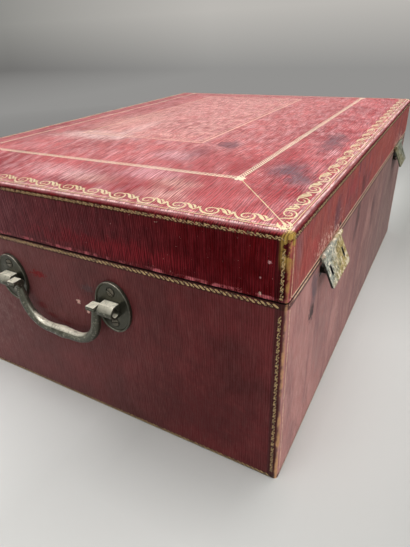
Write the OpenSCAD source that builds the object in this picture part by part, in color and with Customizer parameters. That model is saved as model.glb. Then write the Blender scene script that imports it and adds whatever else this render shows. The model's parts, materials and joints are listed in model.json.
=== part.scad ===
// Leather-covered document box: a wooden carcass in long-grain goatskin, with a hinged lid,
// a drop handle on each end and two hasps on the front. Millimetres, +Z up.
// The origin is the centre of the underside, the front faces -Y and the handles are on -X and +X.

/* [Box] */
// Length along the front
box_length = 480; // [400:5:600]
// Depth from front to back
box_depth = 355; // [290:5:440]
// Height of the body, from the floor to the seam
body_height = 147; // [135:1:190]
// Height of the lid at its edge, from the seam
lid_height = 42.4; // [32:0.1:60]
// Rise of the lid's crowned top above its edge
crown_rise = 13; // [6:0.5:18]
// Gap between body and lid
seam_gap = 0.6; // [0.4:0.1:1]
// Radius of the upright corners
corner_r = 4; // [3:0.1:7]
// Radius of the edge round the top of the lid
lid_edge_r = 4.5; // [3:0.1:6]
// Radius of the edges along the seam and the foot
small_edge_r = 1; // [0.4:0.1:1.2]

/* [Carcass] */
// Thickness of the upright boards
wall_t = 9; // [8:0.5:12]
// Thickness of the base board
base_t = 8; // [6:0.5:12]
// Thickness of the lid's top board at its edge
top_t = 7; // [6:0.5:10]

/* [Covering and lining] */
// Thickness of the leather
leather_t = 1.2; // [1:0.1:1.5]
// Width of the leather turned under the base
turn_under = 14; // [8:1:24]
// Flat part of the top leather below its rounded edge
top_lap = 1.5; // [1:0.1:3]
// Thickness of the lining
lining_t = 0.6; // [0.4:0.1:1]
// Distance from the seam to the edge of the lining
lining_drop = 2; // [1.6:0.1:4]

/* [Lid hinges] */
// Length of each hinge
hinge_length = 50; // [40:1:70]
// Distance between the middles of the two hinges
hinge_spacing = 300; // [200:5:320]
// How far each leaf reaches in over the board
hinge_leaf_reach = 8; // [7:0.1:9]
// Thickness of the leaves
hinge_leaf_t = 1.2; // [0.9:0.1:1.6]
// Radius of the barrel
hinge_barrel_r = 2.6; // [2.2:0.1:3.5]
// Radius of the hinge pin
hinge_pin_r = 1; // [0.8:0.1:1.3]
// Opening angle at which the stop meets the back
lid_opening = 100; // [90:1:110]
// Length of the stop from the hinge axis
hinge_stop_reach = 6.5; // [6:0.1:8]
// Distance of the screws from the inner edge of the leaf
hinge_screw_inset = 2.4; // [2.3:0.1:3]

/* [Hasps] */
// Distance of each hasp from the middle of the front
hasp_offset = 156.5; // [90:0.5:160]
// Width of the hasp along the seam
hasp_width = 46; // [42:0.5:60]
// Length of the hasp below its hinge axis
hasp_drop = 23.5; // [21:0.5:32]
// Thickness of the hasp plate
hasp_t = 1.4; // [1:0.1:1.5]
// Angle at which the hasp stands off the front at rest
hasp_swing = 24; // [22:1:40]
// Radius of the hasp's barrel
hasp_barrel_r = 1.8; // [1.6:0.1:2.2]
// Radius of the hasp's pin
hasp_pin_r = 0.8; // [0.6:0.1:1]
// Height of the hasp's axis above the lid's lower edge
hasp_axis_rise = 1.4; // [1.2:0.1:2]
// Thickness of the webs that join the leaf to its knuckles
hasp_web_t = 1.2; // [0.8:0.1:1.2]
// Height of the leaf let in behind the lid's leather
hasp_leaf_height = 13; // [11:0.5:20]
// Thickness of that leaf
hasp_leaf_t = 1.2; // [0.8:0.1:1.6]
// Distance between the two slots
slot_spacing = 31; // [26:0.5:34]
// Distance of the slots below the hasp's axis
slot_drop = 13; // [11:0.5:15]
// Radius of the hasp's lower corners
hasp_corner_r = 2; // [1:0.1:4]
// Distance of the leaf's nails from its ends
leaf_nail_inset = 5.5; // [4:0.1:8]
// Distance of the leaf's nails below its upper edge
leaf_nail_drop = 4; // [3:0.1:6]

/* [Keepers] */
// Thickness of each staple
staple_t = 1.3; // [1:0.1:1.6]
// Radius of the staple's round end
staple_r = 2.1; // [1.9:0.1:2.4]
// Radius of the eye in the staple
staple_eye_r = 1.2; // [0.9:0.1:1.3]
// Room round the staple in its slot
slot_room = 0.5; // [0.4:0.1:0.8]
// Height of the keeper plate
keeper_height = 8; // [6:0.5:10]
// Length of the keeper plate past each staple
keeper_end = 4; // [3:0.5:6]
// Radius of the keeper plate's corners
keeper_corner_r = 1; // [0.5:0.1:2]
// Distance of the keeper's nails from its middle
keeper_nail_offset = 6; // [4:0.5:9]

/* [Handles] */
// Depth of the pivot below the seam
pivot_below_seam = 36; // [32:1:50]
// Distance between the middles of the two back plates
plate_spacing = 103; // [96:1:110]
// Height of the oval back plate
plate_height = 41; // [40:1:46]
// Width of the oval back plate
plate_width = 31; // [28:1:32]
// Thickness of the plate inside its rim
plate_t = 2; // [1.6:0.1:2.4]
// Height of the rim above that
rim_rise = 0.8; // [0.4:0.1:1]
// Width of the rim
rim_width = 1.6; // [1:0.1:2]
// Distance of the pivot from the leather
pivot_out = 7; // [7:0.1:9]
// Width of each lug
lug_width = 13; // [10:0.5:14]
// Radius of the lug's round end
lug_r = 5.2; // [4.8:0.1:6]
// Radius of the handle's spigots
spigot_r = 2.8; // [2:0.1:3]
// Depth of the hollow outside each spigot
spigot_recess = 3; // [0.5:0.1:5]
// Width of the arm's head
arm_width = 7.6; // [7:0.1:9]
// Radius of the arm's head round the pivot
arm_head_r = 3.4; // [3.2:0.1:3.6]
// Radius of the arm below its head
arm_r = 2.9; // [2.5:0.1:3.2]
// Radius of the handle at its bends
bend_bar_r = 4; // [3.4:0.1:4.4]
// Radius of the bar in the middle
bar_r = 4.9; // [4.4:0.1:5.6]
// Distance from the pivot down to the bar
handle_drop = 34.4; // [32:0.1:40]
// Bend radius of the handle's corners
handle_bend_r = 23.6; // [18:0.1:26]
// Inward slope of the arms in degrees
arm_slope = 11.5; // [4:0.5:14]
// Reach of the stop nib outwards from the pivot
nib_out = 6.6; // [6:0.1:7.2]
// Reach of the nib towards the plate, short enough to swing past the rim
nib_in = 1.4; // [1:0.1:1.5]
// Height of the nib's flat top above the pivot
nib_top = 3.8; // [3.6:0.1:3.9]
// Thickness of the nib
nib_t = 3.2; // [2.4:0.1:3.6]

/* [Fixings] */
// Head radius of the handle screws
handle_screw_head_r = 3; // [2.4:0.1:3.2]
// Shank radius of the handle screws
handle_screw_r = 1.5; // [1:0.1:1.8]
// Distance of the handle screws from the pivot
handle_screw_offset = 12.6; // [11.5:0.1:13.5]
// Head radius of the hinge screws
hinge_screw_head_r = 1.9; // [1.5:0.1:2.2]
// Shank radius of the hinge screws
hinge_screw_r = 0.9; // [0.6:0.1:1.1]
// Length of the hinge screws
hinge_screw_length = 11; // [8:0.5:14]
// Head radius of the small nails
nail_head_r = 1.2; // [0.9:0.1:1.5]
// Shank radius of the small nails
nail_r = 0.6; // [0.4:0.1:0.8]

/* [Clearances] */
// Radial clearance between a pin and its bore
running_gap = 0.05; // [0.02:0.01:0.1]
// Gap between neighbouring knuckles
knuckle_gap = 0.3; // [0.2:0.05:0.5]
// Gap between the lid hinge's barrel and the leather
barrel_gap = 0.4; // [0.3:0.05:0.6]
// Gap between the hasp's barrel and the leather
hasp_gap = 0.3; // [0.2:0.05:0.5]
// Side gap between the handle's arms and the lugs
arm_gap = 0.8; // [0.4:0.1:1.5]
// Distance that a screw stops short of the inside face
screw_short = 1; // [0.5:0.1:2]

/* [Hidden] */
$fn = 48;

// Overrun of a cut past the face that it opens
cut = 1;

// Heights
lid_bottom = body_height + seam_gap;
lid_edge_z = lid_bottom + lid_height;
body_board_top = body_height - leather_t;
rail_bottom = lid_bottom + leather_t;
top_board_z = lid_edge_z - leather_t - top_t;
base_top = leather_t + base_t;

// Crown: one arc across the depth, and half of it at each end of a straight top along the length
crown_r = (pow(box_depth / 2, 2) + pow(crown_rise, 2)) / (2 * crown_rise);
crown_centre_z = lid_edge_z + crown_rise - crown_r;
crown_flat = box_length - box_depth;
edge_centre_x = box_depth / 2 - lid_edge_r;
edge_centre_z = crown_centre_z + sqrt(pow(crown_r - lid_edge_r, 2) - pow(edge_centre_x, 2));
rim_top = edge_centre_z - top_lap;

// Plan sizes of the carcass and of the hollow
carcass_length = box_length - 2 * leather_t;
carcass_depth = box_depth - 2 * leather_t;
carcass_r = corner_r - leather_t;
hollow_length = carcass_length - 2 * wall_t;
hollow_depth = carcass_depth - 2 * wall_t;

// Lid hinges
hinge_axis_y = box_depth / 2 + barrel_gap + hinge_barrel_r;
hinge_axis_z = body_height + seam_gap / 2;
hinge_inner_y = box_depth / 2 - hinge_leaf_reach;
hinge_screw_x = hinge_length / 3;
hinge_knuckles = 5;
// With the lid open, the stop's tip clears the leather by half of barrel_gap
stop_lean = asin((hinge_barrel_r + barrel_gap / 2 - hinge_leaf_t / 2) / hinge_stop_reach);
stop_angle = lid_opening - 90 - stop_lean;

// Hasps
hasp_axis_y = -(box_depth / 2 + hasp_gap + hasp_barrel_r);
hasp_axis_z = lid_bottom + hasp_axis_rise;
hasp_knuckles = 5;
// The plate between two knuckles ends this far below the axis
hasp_neck = hasp_barrel_r + knuckle_gap;
leaf_top = lid_bottom + hasp_leaf_height;

// Keepers: the staples pass the closed hasp, so the eyes lie outside its face
keeper_z = hasp_axis_z - slot_drop;
keeper_length = slot_spacing + 2 * keeper_end;
slot_length = 2 * (staple_r + slot_room);
slot_width = staple_t + slot_room;
staple_out = 2 * hasp_gap + hasp_t + staple_eye_r;

// Handles
handle_z = body_height - pivot_below_seam;
lug_y = plate_spacing / 2;
arm_y = lug_y - lug_width / 2 - arm_gap - arm_width / 2;
spigot_length = arm_width / 2 + arm_gap + lug_width - spigot_recess;
bend_x = handle_bend_r - handle_drop;
arm_length = (handle_bend_r * sin(arm_slope) - bend_x) / cos(arm_slope);
bend_y = arm_y - arm_length * sin(arm_slope) - handle_bend_r * cos(arm_slope);
// How far the arms and the bar run into the bends, and how much thinner they are there
bend_lap = 1;
bend_step = 0.1;
// End radius of the oval plates as a share of half their width
oval_end = 0.84;

// Lengths of the fixings
handle_screw_length = plate_t + leather_t + wall_t - screw_short;
keeper_nail_length = leather_t + wall_t - screw_short;
leaf_nail_length = wall_t - screw_short;

// Colours
leather_red = [0.46, 0.10, 0.15];
rim_red = [0.50, 0.06, 0.11];
top_red = [0.62, 0.20, 0.24];
old_brass = [0.42, 0.43, 0.35];
gilt_brass = [0.66, 0.63, 0.44];
pine = [0.72, 0.56, 0.36];
silk = [0.35, 0.42, 0.33];
paper = [0.30, 0.20, 0.20];

// Plan outline with round corners
module rounded_rect(w, d, r) {
    square([w - 2 * r, d], center = true);
    square([w, d - 2 * r], center = true);
    for (x = [-1, 1], y = [-1, 1])
        translate([x * (w / 2 - r), y * (d / 2 - r)]) circle(r = r);
}

// Upright section of width w from z0 to z1, its upper corners rounded by rt and its lower by rb
module edge_section(w, z0, z1, rt, rb) {
    translate([-w / 2, z0 + rb]) square([w, z1 - rt - z0 - rb]);
    if (rt > 0) {
        translate([-w / 2 + rt, z1 - 2 * rt]) square([w - 2 * rt, 2 * rt]);
        for (s = [-1, 1]) translate([s * (w / 2 - rt), z1 - rt]) circle(r = rt);
    }
    if (rb > 0) {
        translate([-w / 2 + rb, z0]) square([w - 2 * rb, 2 * rb]);
        for (s = [-1, 1]) translate([s * (w / 2 - rb), z0 + rb]) circle(r = rb);
    }
}

// Block as large as the box, with round upright corners and rounded upper and lower edges
module soft_block(z0, z1, rt, rb) {
    intersection() {
        translate([0, 0, z0]) linear_extrude(z1 - z0) rounded_rect(box_length, box_depth, corner_r);
        rotate([90, 0, 0]) linear_extrude(box_depth + cut, center = true)
            edge_section(box_length, z0, z1, rt, rb);
        rotate([90, 0, 90]) linear_extrude(box_length + cut, center = true)
            edge_section(box_depth, z0, z1, rt, rb);
    }
}

// Section of the crowned top from z0 upwards, drawn in by inset, with a straight part of width flat
module crown_section(flat, inset, z0) {
    half = flat / 2 + box_depth / 2 - inset;
    arc_r = crown_r - inset;
    meet_x = edge_centre_x * arc_r / (crown_r - lid_edge_r);
    translate([-half, z0]) square([2 * half, edge_centre_z - z0]);
    if (flat > 0)
        translate([-flat / 2, z0]) square([flat, crown_centre_z + arc_r - z0]);
    for (s = [-1, 1]) {
        translate([s * (flat / 2 + edge_centre_x), edge_centre_z]) circle(r = lid_edge_r - inset);
        intersection() {
            translate([s * flat / 2, crown_centre_z]) circle(r = arc_r, $fn = 720);
            translate([s > 0 ? flat / 2 : -flat / 2 - meet_x, z0]) square([meet_x, arc_r]);
        }
    }
}

// Solid under the crowned top, drawn in by inset on every side
module crown_block(inset, z0) {
    intersection() {
        translate([0, 0, z0]) linear_extrude(lid_edge_z + crown_rise + cut - z0)
            rounded_rect(box_length - 2 * inset, box_depth - 2 * inset, corner_r - inset);
        rotate([90, 0, 0]) linear_extrude(box_depth + cut, center = true)
            crown_section(crown_flat, inset, z0);
        rotate([90, 0, 90]) linear_extrude(box_length + cut, center = true)
            crown_section(0, inset, z0);
    }
}

module centred_box(w, d, z0, z1) {
    translate([-w / 2, -d / 2, z0]) cube([w, d, z1 - z0]);
}

// Outline of the carcass between two heights
module carcass_block(z0, z1) {
    translate([0, 0, z0]) linear_extrude(z1 - z0)
        rounded_rect(carcass_length, carcass_depth, carcass_r);
}

// One long board, on the front (-1) or the back (1)
module long_board(side, z0, z1) {
    intersection() {
        carcass_block(z0, z1);
        translate([-carcass_length / 2, side > 0 ? hollow_depth / 2 : -carcass_depth / 2, z0])
            cube([carcass_length, wall_t, z1 - z0]);
    }
}

// One end board, between the long ones
module end_board(side, z0, z1) {
    translate([side > 0 ? hollow_length / 2 : -carcass_length / 2, -hollow_depth / 2, z0])
        cube([wall_t, hollow_depth, z1 - z0]);
}

// Countersunk screw or nail, its head flush with the plane z = 0, pointing down
module countersunk(head_r, shank_r, length) {
    head_h = head_r - shank_r;
    translate([0, 0, -head_h]) cylinder(h = head_h, r1 = shank_r, r2 = head_r);
    translate([0, 0, -length]) cylinder(h = length - head_h, r = shank_r);
}

// The hole for one, with room round it
module countersunk_hole(head_r, shank_r, length) {
    countersunk(head_r + running_gap, shank_r + running_gap, length + running_gap);
    cylinder(h = cut, r = head_r + running_gap);
}

// Frame at the handle's pivot on an end: x up, y along the end, z out from the leather
module at_end(side) {
    rotate([0, 0, side > 0 ? 180 : 0])
        translate([-box_length / 2, 0, handle_z]) rotate([0, -90, 0]) children();
}

module at_handle_screws(side) {
    at_end(side) for (front = [-1, 1], s = [-1, 1])
        translate([s * handle_screw_offset, front * lug_y, plate_t]) children();
}

// Screws of the lid hinges: level -1 is on the body and 1 on the lid
module at_hinge_screws(level) {
    for (side = [-1, 1], s = [-1, 1])
        translate([side * hinge_spacing / 2 + s * hinge_screw_x, hinge_inner_y + hinge_screw_inset,
                   level > 0 ? lid_bottom : body_height])
            rotate([level > 0 ? 180 : 0, 0, 0]) children();
}

module at_keeper_nails() {
    for (side = [-1, 1], s = [-1, 1])
        translate([side * hasp_offset + s * keeper_nail_offset, -box_depth / 2, keeper_z])
            rotate([90, 0, 0]) children();
}

module at_leaf_nails() {
    for (side = [-1, 1], s = [-1, 1])
        translate([side * hasp_offset + s * (hasp_width / 2 - leaf_nail_inset),
                   -carcass_depth / 2, leaf_top - leaf_nail_drop])
            rotate([90, 0, 0]) children();
}

module handle_screw_holes(side) {
    at_handle_screws(side)
        countersunk_hole(handle_screw_head_r, handle_screw_r, handle_screw_length);
}

module hinge_screw_holes(level) {
    at_hinge_screws(level)
        countersunk_hole(hinge_screw_head_r, hinge_screw_r, hinge_screw_length);
}

module keeper_nail_holes() {
    at_keeper_nails() countersunk_hole(nail_head_r, nail_r, keeper_nail_length);
}

module leaf_nail_holes() {
    at_leaf_nails() countersunk_hole(nail_head_r, nail_r, leaf_nail_length);
}

// Room for both leaves of each hinge, cut from the leather and the boards
module hinge_pockets() {
    for (side = [-1, 1])
        translate([side * hinge_spacing / 2 - hinge_length / 2, hinge_inner_y,
                   body_height - hinge_leaf_t])
            cube([hinge_length, hinge_leaf_reach + cut, seam_gap + 2 * hinge_leaf_t]);
}

// Room for the hasps' leaves behind the leather
module hasp_leaf_pockets() {
    for (side = [-1, 1])
        translate([side * hasp_offset - hasp_width / 2, -carcass_depth / 2, lid_bottom - cut])
            cube([hasp_width, hasp_leaf_t, hasp_leaf_height + cut]);
}

// Room where the hasps' webs come out under the edge of the leather
module hasp_web_pockets() {
    for (side = [-1, 1])
        translate([side * hasp_offset - hasp_width / 2, -box_depth / 2 - cut, lid_bottom - cut])
            cube([hasp_width, leather_t + cut, hasp_axis_rise + cut]);
}

// The keeper's plate, from the carcass outwards
module keeper_block(side, thickness) {
    translate([side * hasp_offset, -carcass_depth / 2, keeper_z]) rotate([90, 0, 0])
        linear_extrude(thickness) rounded_rect(keeper_length, keeper_height, keeper_corner_r);
}

module base_board() {
    color(pine) centred_box(hollow_length, hollow_depth, leather_t, base_top);
}

module body_front_board() {
    color(pine) difference() {
        long_board(-1, leather_t, body_board_top);
        keeper_nail_holes();
    }
}

module body_back_board() {
    color(pine) difference() {
        long_board(1, leather_t, body_board_top);
        hinge_pockets();
        hinge_screw_holes(-1);
    }
}

module body_left_board() {
    color(pine) difference() {
        end_board(-1, leather_t, body_board_top);
        handle_screw_holes(-1);
    }
}

module body_right_board() {
    color(pine) difference() {
        end_board(1, leather_t, body_board_top);
        handle_screw_holes(1);
    }
}

module bottom_cover() {
    color(paper) centred_box(carcass_length - 2 * turn_under, carcass_depth - 2 * turn_under,
                             0, leather_t);
}

// The leather goes round the four sides, in over the top edge and under the base
module body_leather() {
    color(leather_red) difference() {
        soft_block(0, body_height, small_edge_r, small_edge_r);
        carcass_block(leather_t, body_board_top);
        centred_box(hollow_length, hollow_depth, body_board_top - cut, body_height + cut);
        centred_box(carcass_length - 2 * turn_under, carcass_depth - 2 * turn_under,
                    -cut, leather_t + cut);
        hinge_pockets();
        for (side = [-1, 1]) {
            keeper_block(side, leather_t + cut);
            handle_screw_holes(side);
        }
    }
}

module body_lining() {
    color(silk) difference() {
        centred_box(hollow_length, hollow_depth, base_top, body_height - lining_drop);
        centred_box(hollow_length - 2 * lining_t, hollow_depth - 2 * lining_t,
                    base_top + lining_t, body_height);
    }
}

// Every second knuckle from number first, centred along X: children draw its section, y and z
module knuckle_row(total_length, count, first) {
    pitch = total_length / count;
    for (i = [first:2:count - 1])
        translate([-total_length / 2 + i * pitch + knuckle_gap / 2, 0, 0])
            rotate([90, 0, 90]) linear_extrude(pitch - knuckle_gap) children();
}

// Bore along X through all the knuckles
module pin_bore(total_length, r) {
    rotate([0, 90, 0]) cylinder(h = total_length + 2 * cut, r = r + running_gap, center = true);
}

// One leaf of a lid hinge: level -1 on the body and 1 on the lid, which also carries the stops
module hinge_leaf(side, level) {
    leaf_z = level > 0 ? lid_bottom - hinge_axis_z : body_height - hinge_leaf_t - hinge_axis_z;
    leaf_y = hinge_inner_y - hinge_axis_y;
    color(old_brass) difference() {
        translate([side * hinge_spacing / 2, hinge_axis_y, hinge_axis_z]) difference() {
            union() {
                translate([-hinge_length / 2, leaf_y, leaf_z])
                    cube([hinge_length, hinge_leaf_reach, hinge_leaf_t]);
                knuckle_row(hinge_length, hinge_knuckles, level > 0 ? 1 : 0) {
                    circle(r = hinge_barrel_r);
                    translate([leaf_y, leaf_z]) square([-leaf_y, hinge_leaf_t]);
                    if (level > 0)
                        rotate(stop_angle) translate([0, -hinge_leaf_t / 2])
                            square([hinge_stop_reach, hinge_leaf_t]);
                }
            }
            pin_bore(hinge_length, hinge_pin_r);
        }
        hinge_screw_holes(level);
    }
}

module hinge_pin(side) {
    color(old_brass) translate([side * hinge_spacing / 2, hinge_axis_y, hinge_axis_z])
        rotate([0, 90, 0]) cylinder(h = hinge_length, r = hinge_pin_r, center = true);
}

module left_hinge_body_leaf() {
    hinge_leaf(-1, -1);
}

module right_hinge_body_leaf() {
    hinge_leaf(1, -1);
}

module left_hinge_lid_leaf() {
    hinge_leaf(-1, 1);
}

module right_hinge_lid_leaf() {
    hinge_leaf(1, 1);
}

module left_hinge_pin() {
    hinge_pin(-1);
}

module right_hinge_pin() {
    hinge_pin(1);
}

module hinge_body_screws() {
    color(old_brass) at_hinge_screws(-1)
        countersunk(hinge_screw_head_r, hinge_screw_r, hinge_screw_length);
}

module hinge_lid_screws() {
    color(old_brass) at_hinge_screws(1)
        countersunk(hinge_screw_head_r, hinge_screw_r, hinge_screw_length);
}

// Four-arc oval, a high and b wide from its middle, drawn in by inset
module oval(a, b, inset) {
    end_r = oval_end * b;
    side_r = (pow(a - end_r, 2) + b * b - end_r * end_r) / (2 * (b - end_r));
    meet_x = (side_r - inset) * (a - end_r) / (side_r - end_r);
    intersection() {
        translate([0, b - side_r]) circle(r = side_r - inset);
        translate([0, side_r - b]) circle(r = side_r - inset);
        square([2 * meet_x, 2 * b], center = true);
    }
    for (s = [-1, 1]) translate([s * (a - end_r), 0]) circle(r = end_r - inset);
}

// Oval back plate with its raised rim and its lug
module handle_plate(side, front) {
    color(old_brass) difference() {
        at_end(side) translate([0, -side * front * lug_y, 0]) difference() {
            union() {
                linear_extrude(plate_t) oval(plate_height / 2, plate_width / 2, 0);
                linear_extrude(plate_t + rim_rise) difference() {
                    oval(plate_height / 2, plate_width / 2, 0);
                    oval(plate_height / 2, plate_width / 2, rim_width);
                }
                rotate([90, 0, 0]) linear_extrude(lug_width, center = true) {
                    translate([-lug_r, plate_t / 2]) square([2 * lug_r, pivot_out - plate_t / 2]);
                    translate([0, pivot_out]) circle(r = lug_r);
                }
            }
            translate([0, 0, pivot_out]) rotate([90, 0, 0])
                cylinder(h = lug_width + 2 * cut, r = spigot_r + running_gap, center = true);
        }
        handle_screw_holes(side);
    }
}

module left_front_handle_plate() {
    handle_plate(-1, -1);
}

module left_back_handle_plate() {
    handle_plate(-1, 1);
}

module right_front_handle_plate() {
    handle_plate(1, -1);
}

module right_back_handle_plate() {
    handle_plate(1, 1);
}

module left_handle_screws() {
    color(old_brass) at_handle_screws(-1)
        countersunk(handle_screw_head_r, handle_screw_r, handle_screw_length);
}

module right_handle_screws() {
    color(old_brass) at_handle_screws(1)
        countersunk(handle_screw_head_r, handle_screw_r, handle_screw_length);
}

// Staple with a round end and an eye, standing out along -Y
module staple() {
    translate([-staple_t / 2, 0, 0]) difference() {
        union() {
            translate([0, -staple_out, -staple_r]) cube([staple_t, staple_out, 2 * staple_r]);
            translate([0, -staple_out, 0]) rotate([0, 90, 0]) cylinder(h = staple_t, r = staple_r);
        }
        translate([-cut, -staple_out, 0])
            rotate([0, 90, 0]) cylinder(h = staple_t + 2 * cut, r = staple_eye_r);
    }
}

// Plate let into the leather of the front, with its two staples
module keeper(side) {
    color(gilt_brass) difference() {
        union() {
            keeper_block(side, leather_t);
            for (s = [-1, 1])
                translate([side * hasp_offset + s * slot_spacing / 2, -box_depth / 2, keeper_z])
                    staple();
        }
        keeper_nail_holes();
    }
}

module left_keeper() {
    keeper(-1);
}

module right_keeper() {
    keeper(1);
}

module keeper_nails() {
    color(gilt_brass) at_keeper_nails() countersunk(nail_head_r, nail_r, keeper_nail_length);
}

module lid_top_board() {
    color(pine) crown_block(leather_t, top_board_z);
}

module lid_front_rail() {
    color(pine) difference() {
        long_board(-1, rail_bottom, top_board_z);
        hasp_leaf_pockets();
        leaf_nail_holes();
    }
}

module lid_back_rail() {
    color(pine) difference() {
        long_board(1, rail_bottom, top_board_z);
        hinge_pockets();
        hinge_screw_holes(1);
    }
}

module lid_left_rail() {
    color(pine) end_board(-1, rail_bottom, top_board_z);
}

module lid_right_rail() {
    color(pine) end_board(1, rail_bottom, top_board_z);
}

// The top leather covers the crown and turns down past its rounded edge
module lid_top_leather() {
    color(top_red) difference() {
        crown_block(0, rim_top);
        crown_block(leather_t, rim_top - cut);
    }
}

// The rim leather goes round the lid's sides and turns in under its lower edge
module lid_rim_leather() {
    color(rim_red) difference() {
        soft_block(lid_bottom, rim_top, 0, small_edge_r);
        carcass_block(rail_bottom, rim_top + cut);
        centred_box(hollow_length, hollow_depth, lid_bottom - cut, rail_bottom + cut);
        hinge_pockets();
        hasp_leaf_pockets();
        hasp_web_pockets();
    }
}

module lid_lining() {
    color(silk) difference() {
        centred_box(hollow_length, hollow_depth, lid_bottom + lining_drop, top_board_z);
        centred_box(hollow_length - 2 * lining_t, hollow_depth - 2 * lining_t,
                    lid_bottom, top_board_z - lining_t);
    }
}

// Leaf behind the lid's leather, with the webs that bring it out to its knuckles
module hasp_leaf(side) {
    leaf_y = -carcass_depth / 2;
    web_z = hasp_axis_z - hasp_web_t;
    color(gilt_brass) difference() {
        union() {
            translate([side * hasp_offset - hasp_width / 2, leaf_y, web_z])
                cube([hasp_width, hasp_leaf_t, leaf_top - web_z]);
            translate([side * hasp_offset, hasp_axis_y, hasp_axis_z])
                knuckle_row(hasp_width, hasp_knuckles, 0) {
                    circle(r = hasp_barrel_r);
                    translate([0, -hasp_web_t])
                        square([leaf_y + hasp_leaf_t - hasp_axis_y, hasp_web_t]);
                }
        }
        translate([side * hasp_offset, hasp_axis_y, hasp_axis_z]) pin_bore(hasp_width, hasp_pin_r);
        leaf_nail_holes();
    }
}

module left_hasp_leaf() {
    hasp_leaf(-1);
}

module right_hasp_leaf() {
    hasp_leaf(1);
}

module hasp_pin(side) {
    color(gilt_brass) translate([side * hasp_offset, hasp_axis_y, hasp_axis_z])
        rotate([0, 90, 0]) cylinder(h = hasp_width, r = hasp_pin_r, center = true);
}

module left_hasp_pin() {
    hasp_pin(-1);
}

module right_hasp_pin() {
    hasp_pin(1);
}

module hasp_leaf_nails() {
    color(gilt_brass) at_leaf_nails() countersunk(nail_head_r, nail_r, leaf_nail_length);
}

module slot_outline() {
    square([slot_width, slot_length - slot_width], center = true);
    for (s = [-1, 1]) translate([0, s * (slot_length - slot_width) / 2]) circle(d = slot_width);
}

// Outline of the hasp with its slots: x along the seam, y up, its axis at 0
module hasp_outline() {
    low_y = -hasp_drop + hasp_corner_r;
    difference() {
        union() {
            translate([-hasp_width / 2, low_y]) square([hasp_width, -hasp_neck - low_y]);
            translate([-hasp_width / 2 + hasp_corner_r, -hasp_drop])
                square([hasp_width - 2 * hasp_corner_r, 2 * hasp_corner_r]);
            for (s = [-1, 1])
                translate([s * (hasp_width / 2 - hasp_corner_r), low_y]) circle(r = hasp_corner_r);
        }
        for (s = [-1, 1]) translate([s * slot_spacing / 2, -slot_drop]) slot_outline();
    }
}

// Hasp plate on its pin, swung off the front by hasp_swing
module hasp_plate(side) {
    color(gilt_brass) translate([side * hasp_offset, hasp_axis_y, hasp_axis_z])
        rotate([-hasp_swing, 0, 0]) difference() {
            union() {
                translate([0, hasp_barrel_r, 0]) rotate([90, 0, 0])
                    linear_extrude(hasp_t) hasp_outline();
                knuckle_row(hasp_width, hasp_knuckles, 1) {
                    circle(r = hasp_barrel_r);
                    translate([hasp_barrel_r - hasp_t, -hasp_neck]) square([hasp_t, hasp_neck]);
                }
            }
            pin_bore(hasp_width, hasp_pin_r);
        }
}

module left_hasp_plate() {
    hasp_plate(-1);
}

module right_hasp_plate() {
    hasp_plate(1);
}

// Half of the handle from a lug: spigot, head with its stop nib, sloping arm and bend
module half_bail(front) {
    translate([0, front * arm_y, 0]) {
        rotate([-90 * front, 0, 0]) cylinder(h = spigot_length, r = spigot_r);
        rotate([90, 0, 0]) linear_extrude(arm_width, center = true) {
            circle(r = arm_head_r);
            translate([nib_top - nib_t, -nib_in]) square([nib_t, nib_in + nib_out]);
        }
        rotate([0, 0, front * arm_slope]) rotate([0, -90, 0])
            cylinder(h = arm_length + bend_lap, r1 = arm_r, r2 = bend_bar_r - bend_step);
    }
    translate([bend_x, front * bend_y, 0]) rotate([0, 0, front > 0 ? 90 + arm_slope : 180])
        rotate_extrude(angle = 90 - arm_slope)
            translate([handle_bend_r, 0]) circle(r = bend_bar_r);
}

// Drop handle, hanging straight down, with a bar that swells to its middle
module bail(side) {
    bar_end = bend_y + bend_lap;
    end_r = bend_bar_r - bend_step;
    color(old_brass) at_end(side) translate([0, 0, pivot_out]) {
        half_bail(-1);
        half_bail(1);
        translate([-handle_drop, 0, 0]) rotate([-90, 0, 0]) rotate_extrude()
            polygon([[0, -bar_end], [end_r, -bar_end], [bar_r, 0], [end_r, bar_end], [0, bar_end]]);
    }
}

module left_bail() {
    bail(-1);
}

module right_bail() {
    bail(1);
}

base_board();
body_front_board();
body_back_board();
body_left_board();
body_right_board();
bottom_cover();
body_leather();
body_lining();
left_hinge_body_leaf();
right_hinge_body_leaf();
left_hinge_pin();
right_hinge_pin();
hinge_body_screws();
left_front_handle_plate();
left_back_handle_plate();
right_front_handle_plate();
right_back_handle_plate();
left_handle_screws();
right_handle_screws();
left_keeper();
right_keeper();
keeper_nails();
lid_top_board();
lid_front_rail();
lid_back_rail();
lid_left_rail();
lid_right_rail();
lid_top_leather();
lid_rim_leather();
lid_lining();
left_hinge_lid_leaf();
right_hinge_lid_leaf();
hinge_lid_screws();
left_hasp_leaf();
right_hasp_leaf();
left_hasp_pin();
right_hasp_pin();
hasp_leaf_nails();
left_hasp_plate();
right_hasp_plate();
left_bail();
right_bail();
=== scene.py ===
"""Looks of a leather-covered document box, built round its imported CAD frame."""

import json
import math
from types import SimpleNamespace

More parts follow.
